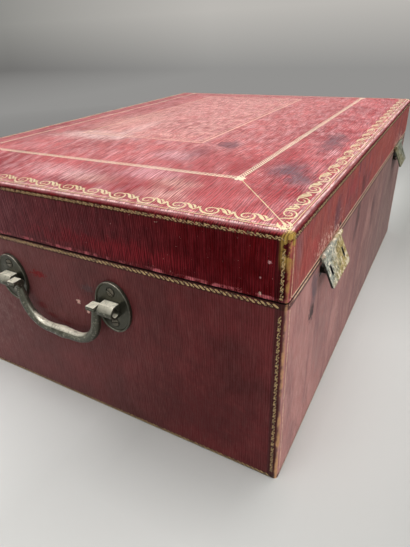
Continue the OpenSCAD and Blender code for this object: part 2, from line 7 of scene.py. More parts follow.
import bpy
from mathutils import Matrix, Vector

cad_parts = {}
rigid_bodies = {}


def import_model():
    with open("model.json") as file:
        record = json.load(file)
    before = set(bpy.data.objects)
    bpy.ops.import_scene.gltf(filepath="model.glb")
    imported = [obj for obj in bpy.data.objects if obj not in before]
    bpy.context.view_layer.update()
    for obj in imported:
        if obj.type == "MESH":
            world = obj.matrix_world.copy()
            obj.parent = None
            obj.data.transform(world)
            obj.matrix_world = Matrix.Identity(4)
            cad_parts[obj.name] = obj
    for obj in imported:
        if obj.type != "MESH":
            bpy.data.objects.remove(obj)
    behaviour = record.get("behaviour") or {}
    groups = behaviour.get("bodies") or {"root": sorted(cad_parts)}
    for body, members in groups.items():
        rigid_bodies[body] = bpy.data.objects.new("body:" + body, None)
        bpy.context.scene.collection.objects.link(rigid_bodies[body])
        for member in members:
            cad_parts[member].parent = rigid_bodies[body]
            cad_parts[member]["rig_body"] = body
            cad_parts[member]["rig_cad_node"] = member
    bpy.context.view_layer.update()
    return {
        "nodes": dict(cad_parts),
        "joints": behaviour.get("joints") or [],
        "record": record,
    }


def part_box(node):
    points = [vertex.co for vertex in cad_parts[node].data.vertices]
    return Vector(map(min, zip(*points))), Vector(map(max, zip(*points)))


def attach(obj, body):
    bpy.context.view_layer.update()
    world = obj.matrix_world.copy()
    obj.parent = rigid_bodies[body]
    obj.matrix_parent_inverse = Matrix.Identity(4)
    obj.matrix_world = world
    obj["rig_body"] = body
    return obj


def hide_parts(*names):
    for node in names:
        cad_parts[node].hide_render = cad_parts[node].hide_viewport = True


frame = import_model()
bpy.ops.object.select_all(action="DESELECT")

bl_info = {
    "name": "Leather document box",
    "version": (1, 0, 0),
    "blender": (4, 5, 0),
    "location": "3D View > Sidebar > Document Box",
    "description": "Builds the looks of a gilt-tooled leather document box",
    "category": "Object",
}

MM = 0.001
BODY_LOW, BODY_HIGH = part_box("body_leather")
LID_LOW, LID_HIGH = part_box("lid_top_leather")
HALF_X, HALF_Y = BODY_HIGH.x / MM, BODY_HIGH.y / MM
HANDLE_PIVOT = Vector(next(j["pos_m"] for j in frame["joints"] if j["name"] == "left_handle_pivot")) / MM

# Start corner of each side as signs of X and Y, and its heading: front, right, back and left
SIDES = [(-1, -1, 0), (1, -1, 90), (1, 1, 180), (-1, 1, 270)]

# Heights of the sides' gold rolls and lines in millimetres, each at its lower edge or its middle
RIM_ROLL, SEAM_ROLL, FOOT_ROLL = 184.8, 143.9, 0.7
LID_LINE, BODY_LINE, FOOT_LINE = 149.3, 145.9, 2.2
# Pieces of a gold line along a whole side, so that it can follow the leather
CUTS = 60
# Distances closer than this are one point
WELD = 0.00001

# Marks on the skins: centre and radii in millimetres, tint and strength
TOP_MARKS = [
    ((-206, -118, 193), (46, 62, 60), "a23c40", 0.8),
    ((-160, -100, 197), (44, 50, 60), "a84246", 0.7),
    ((-100, -150, 193), (60, 30, 60), "a4484c", 0.5),
    # The next two pale marks: rubbed skin and painted sheen
    ((-206, -84, 194), (12, 24, 30), "dcb8a8", 0.6),
    ((-214, -28, 194), (10, 34, 30), "dcb8a8", 0.55),
    ((-152, -142, 195), (27, 16, 40), "4a3a48", 1.0),
    ((-164, -156, 193), (17, 11, 40), "54404c", 0.95),
    ((-120, -85, 200), (17, 12, 40), "563c48", 0.9),
    ((-56, -150, 194), (44, 11, 30), "54404a", 0.92),
    ((-150, -72, 199), (22, 12, 30), "7a4a54", 0.6),
    # The next seven pale marks: rubbed skin and painted sheen
    ((-160, -58, 199), (14, 26, 30), "dcb4b8", 0.45),
    ((-196, -60, 196), (14, 30, 30), "d9a9ae", 0.6),
    ((-90, -158, 193), (18, 5, 30), "e2b8ba", 0.6),
    ((-210, 10, 195), (14, 60, 30), "e6b7b6", 0.5),
    ((-128, 50, 201), (20, 60, 40), "efd0c8", 0.75),
    ((-100, 20, 202), (50, 12, 40), "efd0c8", 0.5),
    ((-60, 60, 202), (60, 50, 40), "e8b8a8", 0.4),
    ((-162, -114, 197), (28, 18, 40), "8e1a24", 0.85),
    ((-190, -150, 193), (18, 22, 40), "8e1a24", 0.8),
    ((-120, -130, 196), (44, 18, 40), "962029", 0.75),
    ((-214, -60, 193), (14, 44, 40), "982630", 0.7),
    # Pale mark: rubbed skin and painted sheen
    ((-222, -90, 193), (9, 24, 30), "dcb4a8", 0.7),
]
RIM_MARKS = [
    ((-48, -178, 158), (10, 20, 18), "42292f", 0.95),
    ((-142, -178, 166), (10, 20, 16), "5a4450", 0.85),
    ((-95, -178, 170), (30, 20, 10), "a83f46", 0.7),
    ((-200, -178, 160), (22, 20, 12), "b04a48", 0.8),
    ((-226, -178, 174), (7, 20, 16), "8d6f74", 0.6),
    ((-127, -178, 152), (4, 20, 2.5), "2a1414", 0.95),
    ((-241, -60, 158), (8, 90, 9), "8c1f28", 0.6),
    ((-241, -166, 171.5), (8, 1.3, 1.1), "e8a8a8", 1.0),
    ((-241, -161, 161), (8, 0.7, 0.7), "d8a09c", 0.9),
    ((-241, -161, 150.5), (8, 0.8, 1.3), "d0b0a0", 0.9),
    ((-236, -140, 165), (9, 44, 20), "470206", 0.6),
    # Pale back of the end: faded skin and painted reflection
    ((-241, 130, 168), (9, 110, 44), "845054", 0.7),
]
BODY_MARKS = [
    ((-55, -178, 134), (11, 20, 24), "2c1a1e", 0.95),
    ((-62, -178, 118), (9, 20, 16), "5c3a3e", 0.8),
    ((30, -178, 112), (11, 20, 26), "4a2a2e", 0.9),
    # Blue-grey patch beside the near hasp: metal stain and painted shadow of the hasp
    ((-187, -178, 130), (10, 20, 18), "3f3c4a", 0.95),
    ((-188, -178, 111), (6, 20, 7), "2c1a1c", 0.9),
    ((-150, -178, 60), (20, 20, 60), "8a6664", 0.6),
    ((-241, 22.4, 119.6), (8, 8, 3.0), "860c10", 0.75),
    ((-241, 28, 90), (9, 8, 4), "6c1014", 0.9),
    ((-241, 18, 83), (9, 9, 3), "6c1014", 0.9),
    ((-241, 3, 79.4), (9, 13, 2.4), "6c1014", 0.95),
    ((-241, -16, 105), (8, 2.2, 2), "e8b8a8", 1.0),
    ((-241, -24, 98), (8, 1.6, 1.4), "e8b8a8", 1.0),
    ((-241, -28, 119), (8, 5, 4), "5c4648", 0.6),
    # Pale back of the end: faded skin and painted reflection
    ((-241, 160, 100), (9, 110, 90), "9a7672", 0.75),
    ((-241, -120, 40), (8, 60, 40), "431416", 0.6),
]


def linear(tint):
    """Linear RGBA of an sRGB hex colour. A colour or socket that is linear already stays as it is."""
    if not isinstance(tint, str):
        return tint
    parts = [int(tint[i : i + 2], 16) / 255 for i in (0, 2, 4)]
    return tuple(c / 12.92 if c <= 0.04045 else ((c + 0.055) / 1.055) ** 2.4 for c in parts) + (1.0,)


def length(name, description, default_mm):
    """A length property given in millimetres."""
    return bpy.props.FloatProperty(
        name=name, description=description, default=default_mm * MM, unit="LENGTH", precision=5
    )


def colour(name, description, hex_colour):
    """A colour property given as an sRGB hex value."""
    return bpy.props.FloatVectorProperty(
        name=name, description=description, default=linear(hex_colour), size=4, subtype="COLOR", min=0, max=1
    )


class BoxLeatherSettings(bpy.types.PropertyGroup):
    """Sizes of the leather's grain and wear."""

    grain: length("Grain pitch", "Distance between two ridges of the long grain", 1.5)
    cell: length("Cell", "Squares that the leather is cut into before it is worn", 8)
    swell: length("Unevenness", "How far the leather swells and sinks over the boards", 0.3)
    edge_wear: length("Edge wear", "How far the edges are worn down", 0.5)


class BoxToolingSettings(bpy.types.PropertyGroup):
    """Places and pitches of the gilt tooling."""

    foil: length("Foil", "Thickness that the gold stands above the leather", 0.06)
    lift: length("Lift", "Clearance that keeps the gold off the leather", 0.05)
    scroll_inset: length("Scroll inset", "Edge of the lid to the scroll roll", 5)
    scroll_pitch: length("Scroll pitch", "One repeat of the scroll roll", 22.5)
    fillet_inset: length("Fillet inset", "Edge of the lid to the single line", 3.4)
    frame_inset: length("Frame inset", "Edge of the lid to the rope frame", 53)
    panel_inset: length("Panel inset", "Edge of the lid to the inner panel", 114.5)
    rope_pitch: length("Rope pitch", "One strand of the rope roll", 2.9)
    bead_pitch: length("Bead pitch", "One bead of the inner panel's row", 3.4)
    curl_pitch: length("Curl pitch", "One wave of the vine roll round the lid", 5.2)
    stroke_pitch: length("Stroke pitch", "One stroke of the roll below the seam", 3.6)


class BoxBrassSettings(bpy.types.PropertyGroup):
    """Sizes of the brass fittings."""

    bar: length("Bar radius", "Radius of the handle's bar at its middle", 4.9)
    bend: length("Bend radius", "Radius of the handle at its bends", 4)
    arm: length("Arm radius", "Radius of the handle's arms", 2.9)
    plate_height: length("Plate height", "Height of the oval plates", 41)
    plate_width: length("Plate width", "Width of the oval plates", 31)
    screw: length("Screw head", "Radius of the slotted screw heads", 3.2)
    pitting: length("Pitting", "Depth of the pits in the hasps", 0.35)


class BoxColourSettings(bpy.types.PropertyGroup):
    """Colours of the leather, gold, brass and linings."""

    top: colour("Lid top", "Goatskin faded by light", "be5659")
    top_pale: colour("Lid top, rubbed", "Rubbed middle of the lid", "dda199")
    rim: colour("Lid rim", "Goatskin that has kept its colour", "5f070d")
    body: colour("Body", "Browned goatskin of the body", "702729")
    # The fronts' colours are paler partly as bleached skin and partly as painted sheen
    lid_front: colour("Lid front", "Goatskin of the lid's front, bleached a little", "ae524a")
    front: colour("Front", "Goatskin of the front, bleached", "bd8b84")
    gold: colour("Gold leaf", "Gold leaf of the tooling", "f2e9c6")
    brass: colour("Handle brass", "Grey-green brass of the handles", "77776a")
    hasp: colour("Hasp", "Silvery gilding of the hasps", "a9ada0")
    pine: colour("Pine", "Boards of the case", "c9a36b")
    silk: colour("Lining", "Green silk lining", "4d5f4c")


def only(piece):
    """Makes this object the only one selected, and active."""
    bpy.ops.object.select_all(action="DESELECT")
    piece.select_set(True)
    bpy.context.view_layer.objects.active = piece


def open_up(piece):
    """Enters edit mode with the whole piece selected."""
    only(piece)
    bpy.ops.object.mode_set(mode="EDIT")
    bpy.ops.mesh.select_all(action="SELECT")


def pick(piece, test, kind="FACE"):
    """Enters edit mode with the faces or vertices selected that pass the test, in millimetres."""
    open_up(piece)
    bpy.ops.mesh.select_mode(type=kind)
    bpy.ops.mesh.select_all(action="DESELECT")
    leave()
    for item in piece.data.polygons if kind == "FACE" else piece.data.vertices:
        place = (item.center if kind == "FACE" else item.co) / MM
        item.select = bool(test(place, item.normal))
    bpy.ops.object.mode_set(mode="EDIT")


def leave():
    """Leaves edit mode."""
    bpy.ops.object.mode_set(mode="OBJECT")


def modify(piece, kind, **settings):
    """Adds a modifier with its settings and applies it."""
    only(piece)
    modifier = piece.modifiers.new(kind.title(), kind)
    for name, value in settings.items():
        setattr(modifier, name, value)
    bpy.ops.object.modifier_apply(modifier=modifier.name)


def soften(piece, width_mm, segments, angle=30):
    """Rounds the edges of a piece that are sharper than this angle."""
    sharp = math.radians(angle)
    modify(piece, "BEVEL", width=width_mm * MM, segments=segments, limit_method="ANGLE", angle_limit=sharp)


def clear(*spares):
    """Removes pieces that were only needed for making others."""
    for spare in spares:
        bpy.data.objects.remove(spare)


def carve(piece, tool):
    """Cuts a tool's shape out of a piece and clears the tool away."""
    modify(piece, "BOOLEAN", object=tool, operation="DIFFERENCE")
    clear(tool)


def settle(piece, place=(0, 0, 0), turn=(0, 0, 0)):
    """Moves and turns a piece in millimetres and degrees, and puts that into its mesh."""
    only(piece)
    piece.location = Vector(place) * MM
    piece.rotation_euler = [math.radians(a) for a in turn]
    bpy.ops.object.transform_apply(location=True, rotation=True, scale=True)


def stretch(piece, scale):
    """Scales a piece along X, Y and Z, and puts that into its mesh."""
    only(piece)
    piece.scale = scale
    bpy.ops.object.transform_apply(location=False, rotation=False, scale=True)


def join(pieces):
    """Joins pieces into the first one."""
    only(pieces[0])
    for piece in pieces[1:]:
        piece.select_set(True)
    bpy.ops.object.join()
    return bpy.context.active_object


def twin(piece, name):
    """A copy of a piece with its own mesh."""
    only(piece)
    bpy.ops.object.duplicate()
    copy = bpy.context.active_object
    copy.name = copy.data.name = name
    return copy


def mirrored(piece, name):
    """A copy of a piece on the other end of the box, facing outwards again."""
    copy = twin(piece, name)
    stretch(copy, (-1, 1, 1))
    open_up(copy)
    bpy.ops.mesh.normals_make_consistent(inside=False)
    leave()
    return copy


def dress(piece, name, body, look, replaces=(), angle=35):
    """Names, shades and paints a finished piece, and makes it ride on its body."""
    piece.name = piece.data.name = name
    only(piece)
    bpy.ops.object.shade_smooth_by_angle(angle=math.radians(angle))
    piece.data.materials.clear()
    piece.data.materials.append(finish(look))
    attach(piece, body)
    if replaces:
        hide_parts(*replaces)


def copy_of(node, flatten=False):
    """A free copy of a CAD solid with its loose triangles merged into one shell."""
    copy = twin(frame["nodes"][node], node + "_copy")
    copy.parent = None
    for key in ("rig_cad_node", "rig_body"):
        if key in copy:
            del copy[key]
    if copy.data.has_custom_normals:
        bpy.ops.mesh.customdata_custom_splitnormals_clear()
    open_up(copy)
    bpy.ops.mesh.remove_doubles(threshold=WELD)
    if flatten:
        bpy.ops.mesh.dissolve_limited(angle_limit=math.radians(0.3))
    leave()
    return copy


def cut_into_cells(piece, cell_mm):
    """Cuts a shell along X, Y and Z into cells of about this size, so that it can be worn."""
    points = [v.co for v in piece.data.vertices]
    spans = [(min(p[axis] for p in points), max(p[axis] for p in points)) for axis in range(3)]
    open_up(piece)
    for axis, (low, high) in enumerate(spans):
        count = max(1, round((high - low) / (cell_mm * MM)))
        for i in range(1, count):
            centre, normal = [0, 0, 0], [0, 0, 0]
            centre[axis] = low + (high - low) * i / count
            normal[axis] = 1
            bpy.ops.mesh.select_all(action="SELECT")
            bpy.ops.mesh.bisect(plane_co=centre, plane_no=normal)
    leave()


def roughen(piece, size_mm, depth, group=""):
    """Swells and sinks a surface with soft noise of this size."""
    noise = bpy.data.textures.new(piece.name + "_swell", "CLOUDS")
    noise.noise_scale = size_mm * MM
    noise.noise_depth = 2
    modify(
        piece, "DISPLACE", texture=noise, texture_coords="LOCAL", strength=depth, mid_level=0.5, vertex_group=group
    )


def edge_group(piece, reach_mm):
    """Groups the vertices that lie on the box's upright and level edges."""
    group = piece.vertex_groups.new(name="edges")
    low, high = BODY_LOW / MM, BODY_HIGH / MM
    for v in piece.data.vertices:
        x, y, z = v.co / MM
        near_x = min(x - low.x, high.x - x) < reach_mm
        near_y = min(y - low.y, high.y - y) < reach_mm
        near_top = z > LID_LOW.z / MM + 1 and (near_x or near_y)
        if (near_x and near_y) or near_top:
            group.add([v.index], 1.0, "REPLACE")
    return group.name


def worn(node, name, body, look, cell_mm, size_mm, depth, edge_wear=0.0):
    """A CAD solid with its surface swollen and sunk, dressed in its place, with or without worn edges."""
    piece = copy_of(node)
    cut_into_cells(piece, cell_mm)
    if edge_wear:
        roughen(piece, 14, edge_wear, edge_group(piece, 5))
    roughen(piece, size_mm, depth)
    dress(piece, name, body, look, [node], 50)


def ribbon(points, widths, resolution=4):
    """A flat ribbon drawn as a curve through points in millimetres, with a width at each point."""
    bpy.ops.object.select_all(action="DESELECT")
    bpy.ops.curve.primitive_bezier_curve_add(location=(0, 0, 0))
    line = bpy.context.active_object.data
    line.dimensions, line.twist_mode = "3D", "Z_UP"
    line.resolution_u = resolution
    line.extrude = 0.5 * MM
    places = line.splines[0].bezier_points
    places.add(len(points) - 2)
    for place, (x, y), width in zip(places, points, widths):
        place.handle_left_type = place.handle_right_type = "AUTO"
        place.co = (x * MM, y * MM, 0)
        place.radius, place.tilt = width, math.radians(90)
    bpy.ops.object.convert(target="MESH")
    return bpy.context.active_object


def disc(place, radius_mm, sides):
    """A flat dot of gold."""
    bpy.ops.mesh.primitive_circle_add(
        vertices=sides, radius=radius_mm * MM, fill_type="NGON", location=Vector((*place, 0)) * MM
    )
    bpy.ops.object.transform_apply(location=True, rotation=True, scale=True)
    return bpy.context.active_object


def row_of(motif, count, run_mm):
    """A row of copies of one motif that fills a run along X."""
    row = twin(motif, "row")
    step = (run_mm / count * MM, 0, 0)
    modify(
        row,
        "ARRAY",
        count=count,
        use_relative_offset=False,
        use_constant_offset=True,
        constant_offset_displace=step,
    )
    return row


def flat_line(run_mm, width_mm, cuts):
    """A straight gold line along X, cut so that it can follow the leather."""
    short = ribbon([(0, 0), (run_mm / cuts, 0)], [width_mm, width_mm], 1)
    line = row_of(short, cuts, run_mm)
    clear(short)
    return line


def tool_on(gold, leather, downwards):
    """Presses flat gold on to the leather and gives it its thickness."""
    sizes = bpy.context.scene.box_tooling
    way = {"wrap_mode": "ABOVE_SURFACE"}
    if downwards:
        way = {"wrap_method": "PROJECT", "use_project_z": True, "use_negative_direction": True}
    modify(gold, "SHRINKWRAP", target=leather, offset=sizes.lift, **way)
    open_up(gold)
    bpy.ops.mesh.remove_doubles(threshold=WELD)
    leave()
    modify(gold, "SOLIDIFY", thickness=sizes.foil, offset=0)


def feed(tree, node, sockets):
    """Gives a node its inputs: values, links from sockets, or from a node's first output in use."""
    for name, value in sockets.items():
        if isinstance(value, bpy.types.Node):
            value = next(out for out in value.outputs if out.enabled)
        if isinstance(value, bpy.types.NodeSocket):
            tree.links.new(value, node.inputs[name])
        else:
            node.inputs[name].default_value = value


def put(tree, kind, sockets=None, **settings):
    """Adds a shader node with its settings, and its inputs as values or links."""
    node = tree.nodes.new("ShaderNode" + kind)
    for name, value in settings.items():
        setattr(node, name, value)
    feed(tree, node, sockets or {})
    return node


def combine(tree, *factors, how="MULTIPLY"):
    """Factors in one. A span is a factor too: a value, its start and end, and its levels at the end and start."""
    whole = None
    for factor in factors:
        if isinstance(factor, tuple):
            value, start, end, high, low = factor + (1.0, 0.0)[len(factor) - 3 :]
            span = {"Value": value, "From Min": start, "From Max": end, "To Min": low, "To Max": high}
            factor = put(tree, "MapRange", span)
        whole = put(tree, "Math", {0: whole, 1: factor}, operation=how) if whole else factor
    return whole


def paint(tree, skin, layers):
    """Lays tints over a skin in turn, each as strong as the product of its factors."""
    skin = linear(skin)
    for tint, *factors in layers:
        skin = put(tree, "Mix", {0: combine(tree, *factors), 6: skin, 7: linear(tint)}, data_type="RGBA")
    return skin


def stripe(tree, value, centre, half, soft, strength=1.0):
    """A stripe round a value: full to half its width and gone over the soft distance."""
    off = put(tree, "Math", {0: value, 1: centre}, operation="SUBTRACT")
    off = put(tree, "Math", {0: off}, operation="ABSOLUTE")
    return combine(tree, (off, half + soft, half, strength))


def seen(tree):
    """One for the rays that show the distance, from the camera, a gloss or a glass, and none for its light."""
    ray = put(tree, "LightPath").outputs
    kinds = (ray["Is " + kind + " Ray"] for kind in ("Camera", "Glossy", "Transmission"))
    return combine(tree, *kinds, how="MAXIMUM")


def new_material(name):
    """A bare material, its tree and shader, and where a point lies in millimetres and how it faces."""
    material = bpy.data.materials.new(name)
    material.use_nodes = True
    tree = material.node_tree
    tree.nodes.clear()
    shader = put(tree, "BsdfPrincipled")
    put(tree, "OutputMaterial", {"Surface": shader})
    where = put(tree, "TexCoord").outputs
    place = put(tree, "Mapping", {"Vector": where["Object"], "Scale": (1000, 1000, 1000)})
    x, y, z = put(tree, "SeparateXYZ", {0: place}).outputs
    facing = put(tree, "SeparateXYZ", {0: where["Normal"]}).outputs
    out_x = put(tree, "Math", {0: x}, operation="ABSOLUTE")
    side = put(tree, "Math", {0: facing[0]}, operation="ABSOLUTE")
    at = SimpleNamespace(place=place, x=x, y=y, z=z, out_x=out_x, facing=facing, side=side)
    return material, tree, shader, at


def long_grain(tree, at, pitch_mm):
    """Ridges of long-grained goatskin: upright on the sides, along X on the top."""
    up = put(tree, "Math", {0: at.facing[2]}, operation="ABSOLUTE")
    level = combine(tree, (up, 0.6, 0.75))
    round_x = put(tree, "Math", {0: at.x, 1: at.y}, operation="ADD")
    across = put(tree, "Mix", {0: level, 2: round_x, 3: at.y})
    along = put(tree, "Mix", {0: level, 2: at.z, 3: at.x})
    flow = put(tree, "CombineXYZ", {0: across, 1: combine(tree, along, 0.1)})
    # A wave texture's bands are 0.314 of a unit apart at scale 1
    wave = {"Vector": flow, "Scale": 0.314 / pitch_mm, "Distortion": 8.0, "Detail": 3.0, "Detail Scale": 1.6}
    ridges = put(tree, "TexWave", wave).outputs["Fac"]
    pores = put(tree, "TexNoise", {"Vector": flow, "Scale": 1.3 / pitch_mm, "Detail": 3.0, "Roughness": 0.6})
    return put(tree, "Mix", {0: 0.65, 2: ridges, 3: pores}), flow


def mark_shape(tree, at, ridge, scuff, centre, radii, strength):
    """Factors of one mark: small ones are frayed by the fine scuffs, broad ones lie on the ridges."""
    offset = put(tree, "VectorMath", {0: at.place, 1: centre}, operation="SUBTRACT")
    shape = put(tree, "VectorMath", {0: offset, 1: radii}, operation="DIVIDE")
    far = put(tree, "VectorMath", {0: shape}, operation="LENGTH")
    small = max(radii[0], radii[2]) <= 8
    noise, swing, outer, inner = (scuff, 5.0, 3.5, 3.2) if small else (at.uneven, 2.2, 2.2, 1.3)
    frayed = put(tree, "Math", {0: noise, 1: swing, 2: far}, operation="MULTIPLY_ADD")
    span = {"Value": frayed, "From Min": outer, "From Max": inner, "To Max": strength}
    spot = put(tree, "MapRange", span, interpolation_type="SMOOTHSTEP")
    return (spot,) if small else (spot, ridge)


def goatskin(name, main, deep, pale, lip, roughness, shine, depth, layers_of, marks, dull_below=None):
    """Long-grained goatskin, dyed red, polished on its ridges, with its own bands and marks."""
    material, tree, shader, at = new_material(name)
    grain, flow = long_grain(tree, at, bpy.context.scene.box_leather.grain / MM)
    blotch = put(tree, "TexNoise", {"Vector": at.place, "Scale": 0.02, "Detail": 5.0, "Roughness": 0.62})
    long_way = put(tree, "Mapping", {"Vector": flow, "Scale": (0.16, 0.5, 1)})
    streak = put(tree, "TexNoise", {"Vector": long_way, "Scale": 1.0, "Detail": 6.0, "Roughness": 0.72})
    at.uneven = put(tree, "TexNoise", {"Vector": at.place, "Scale": 0.11, "Detail": 7.0, "Roughness": 0.7})
    scuff = put(tree, "TexNoise", {"Vector": at.place, "Scale": 0.4, "Detail": 8.0, "Roughness": 0.75})
    # How far a point lies inside the nearest side, and from an upright edge
    out_y = put(tree, "Math", {0: at.y}, operation="ABSOLUTE")
    depths = {i: put(tree, "Math", {0: half, 1: out}, operation="SUBTRACT")
              for i, (half, out) in enumerate(((HALF_X, at.out_x), (HALF_Y, out_y)))}
    at.near = put(tree, "Math", depths, operation="MINIMUM")
    at.corner = put(tree, "Math", depths, operation="ADD")
    # Blotches as broad as a hand from handling and damp, and streaks where the dye has gone
    layers = [(deep, (blotch, 0.36, 0.64)), (pale, (streak, 0.44, 0.72, 0.65 * depth))]
    layers += layers_of(tree, at)
    ridge = combine(tree, (grain, 0.3, 0.66, 1.0, 0.25))
    for centre, radii, tint, strength in marks:
        layers.append((tint, *mark_shape(tree, at, ridge, scuff, centre, radii, strength)))
    # Upright edges are rubbed through to the bare skin
    reach = combine(tree, (at.uneven, 0.3, 0.6, 2.8, 2.1))
    rubbed = put(tree, "Math", {0: reach, 1: at.corner}, operation="SUBTRACT")
    # Scuffs are short pale marks where the surface is broken
    layers += [(pale, (scuff, 0.68, 0.73, 0.7)), (lip, (rubbed, 0.0, 0.4))]
    # Valleys are darker with grime and painted shade, ridges are polished and lighter with painted sheen
    shade = combine(tree, (grain, 0.3, 0.7, 1 + 0.28 * depth, 1 - 0.38 * depth))
    shaded = {0: 1.0, 6: paint(tree, main, layers), 7: shade}
    ridges = put(tree, "Bump", {"Height": grain, "Strength": 0.7 * depth, "Distance": 0.4 * MM})
    creases = {"Height": at.uneven, "Strength": 0.6, "Distance": 1.2 * MM, "Normal": ridges}
    if dull_below:
        shine = combine(tree, (at.z, dull_below - 0.9, dull_below + 0.3, shine, 0.05))
    feed(tree, shader, {
        "Base Color": put(tree, "Mix", shaded, data_type="RGBA", blend_type="MULTIPLY"),
        "Roughness": combine(tree, (grain, 0.35, 0.65, roughness, roughness + 0.25)),
        "Specular IOR Level": shine,
        "Normal": put(tree, "Bump", creases),
    })
    return material


def roll_ground(tree, at, level, half):
    """Dark skin, burnt by the hot roll, along one level of the sides; under the seam it is also painted shadow
    below the lid.
    """
    return stripe(tree, at.z, level, half, 0.8, 0.85), (at.uneven, 0.34, 0.5, 1.0, 0.35)


def upright_ground(at, reach_mm):
    """Dark skin under the upright rolls of the ends, beside the box's corners."""
    return (at.side, 0.6, 0.8), (at.corner, reach_mm + 1, reach_mm, 0.6)


def fade_and_reflection_on_ends(at, front, most):
    """The ends are paler, from nothing near the front to most at the back: partly faded skin and partly painted
    reflection.
    """
    return (at.y, -120.0, 140.0, most), (front, 0.0, 1.0, 0.0, 1.0)


def upright_streaks(tree, at):
    """Dark and bleached streaks that run down the front, where damp and light have got at it."""
    drawn = put(tree, "Mapping", {"Vector": at.place, "Scale": (0.05, 0.05, 0.016)})
    noise = {"Vector": drawn, "Scale": 1.0, "Detail": 7.0, "Roughness": 0.6, "Distortion": 0.6}
    wash = put(tree, "TexNoise", noise)
    return (wash, 0.48, 0.68, 0.75), (wash, 0.48, 0.3, 0.6)


def corner_gilding(at):
    """Thick gilding that is left on the lid's upper corners."""
    return "b08e48", (at.z, 167.0, 176.0), (at.corner, 7.0, 4.8), (at.uneven, 0.38, 0.44)


def top_layers(tree, at):
    """The lid's top: its rubbed middle panel, and the crimson rounded edge, partly kept colour and partly painted
    shade, with two pale lines of painted highlight.
    """
    look = bpy.context.scene.box_colours
    inset = bpy.context.scene.box_tooling.panel_inset / MM
    panel = combine(tree, (at.near, inset - 2, inset + 5, 0.4), (at.near, 20.0, 150.0, 0.5), how="ADD")
    broken = (at.uneven, 0.4, 0.55, 0.95, 0.25)
    return [
        (look.top_pale, panel, (at.uneven, 0.38, 0.6, 1.0, 0.2)),
        # Rounded edge: crimson that has kept its colour, with painted shade where it turns down, a deep red band,
        # and two pale lines of painted highlight
        (look.rim, (at.z, 189.4, 187.8, 0.95)),
        ("8c1620", stripe(tree, at.near, 3.3, 0.8, 0.5, 0.8)),
        ("f0c4c0", stripe(tree, at.near, 2.0, 0.35, 0.5), broken),
        ("eec4bc", stripe(tree, at.near, 4.9, 0.35, 0.5), broken),
        ("3a1410", *roll_ground(tree, at, RIM_ROLL + 1.2, 1.2)),
        corner_gilding(at),
    ]


def rim_layers(tree, at):
    """The lid's sides: mottled front, paler partly as bleached skin and partly as painted sheen, burnt bands under
    the rolls and a frayed lower lip.
    """
    look = bpy.context.scene.box_colours
    front = combine(tree, (at.facing[1], -0.4, -0.8, 0.95))
    stained, bleached = upright_streaks(tree, at)
    # Flakes are torn out of the skin round the hasps' leaves
    around = combine(tree, stripe(tree, at.out_x, 160.0, 30.0, 14.0), (at.z, 172.0, 152.0), front)
    chips = put(tree, "TexNoise", {"Vector": at.place, "Scale": 0.3, "Detail": 6.0, "Roughness": 0.8})
    torn = put(tree, "Math", {0: around, 1: 0.16, 2: chips}, operation="MULTIPLY_ADD")
    frayed_lip = stripe(tree, at.z, LID_LINE - 0.2, 1.0, 0.8)
    seam_shadow = stripe(tree, at.z, 147.4, 0.5, 0.3)
    return [
        ("7e5054", *fade_and_reflection_on_ends(at, front, 0.8)),
        # The front: bleached skin, paler still with painted sheen
        (look.lid_front, front),
        ("9a5450", front, (at.uneven, 0.38, 0.6, 0.75)),
        ("78505a", front, stained),
        ("b87a70", front, bleached),
        ("efc8b8", (torn, 0.655, 0.685)),
        ("cc6a70", frayed_lip, (at.uneven, 0.47, 0.59, 0.95)),
        ("140a08", seam_shadow),
        ("2a1212", *upright_ground(at, 7.8)),
        ("3a2018", *roll_ground(tree, at, RIM_ROLL + 1.1, 1.3)),
        corner_gilding(at),
    ]


def body_layers(tree, at):
    """The body: bleached front, paler still with painted sheen, that darkens to its ends as painted shade, and
    burnt bands under the rolls.
    """
    look = bpy.context.scene.box_colours
    front = combine(tree, (at.facing[1], -0.4, -0.8, 0.9))
    stained, bleached = upright_streaks(tree, at)
    seam_shadow = stripe(tree, at.z, 147.2, 0.3, 0.3)
    return [
        # The front: bleached skin, paler still with painted sheen
        (look.front, front),
        ("b5706c", front, (at.uneven, 0.36, 0.62, 0.55)),
        ("8a605e", *fade_and_reflection_on_ends(at, front, 0.6)),
        # The front darkens away from its near end: painted shade
        ("6c4c49", front, (at.x, -190.0, -20.0, 0.72)),
        ("88726c", front, (at.x, -20.0, 120.0, 0.72)),
        ("80585a", front, stained),
        ("c8948c", front, bleached),
        ("2e1414", *upright_ground(at, 7.0)),
        # Below the seam the burnt ground is also painted shadow under the lid's edge
        ("3c1a14", *roll_ground(tree, at, SEAM_ROLL + 1.0, 1.6)),
        ("3c2219", *roll_ground(tree, at, FOOT_ROLL + 0.9, 1.6)),
        ("140a08", seam_shadow),
    ]


def gold_leaf(name, whole, warm, under, kept):
    """Gold leaf pressed into leather with hot tools: bright where whole, broken where rubbed."""
    material, tree, shader, at = new_material(name)
    worn_off = put(tree, "TexNoise", {"Vector": at.place, "Scale": 0.55, "Detail": 6.0, "Roughness": 0.7})
    tone = put(tree, "TexNoise", {"Vector": at.place, "Scale": 0.12, "Detail": 4.0})
    lost = combine(tree, (worn_off, kept, kept + 0.08, 0.9))
    feed(tree, shader, {
        "Base Color": paint(tree, whole, [(warm, tone), (under, lost)]),
        "Metallic": combine(tree, (lost, 0.0, 1.0, 0.0, 0.35)),
        "Roughness": 0.4,
        "Normal": put(tree, "Bump", {"Height": worn_off, "Strength": 0.5, "Distance": 0.2 * MM}),
    })
    return material


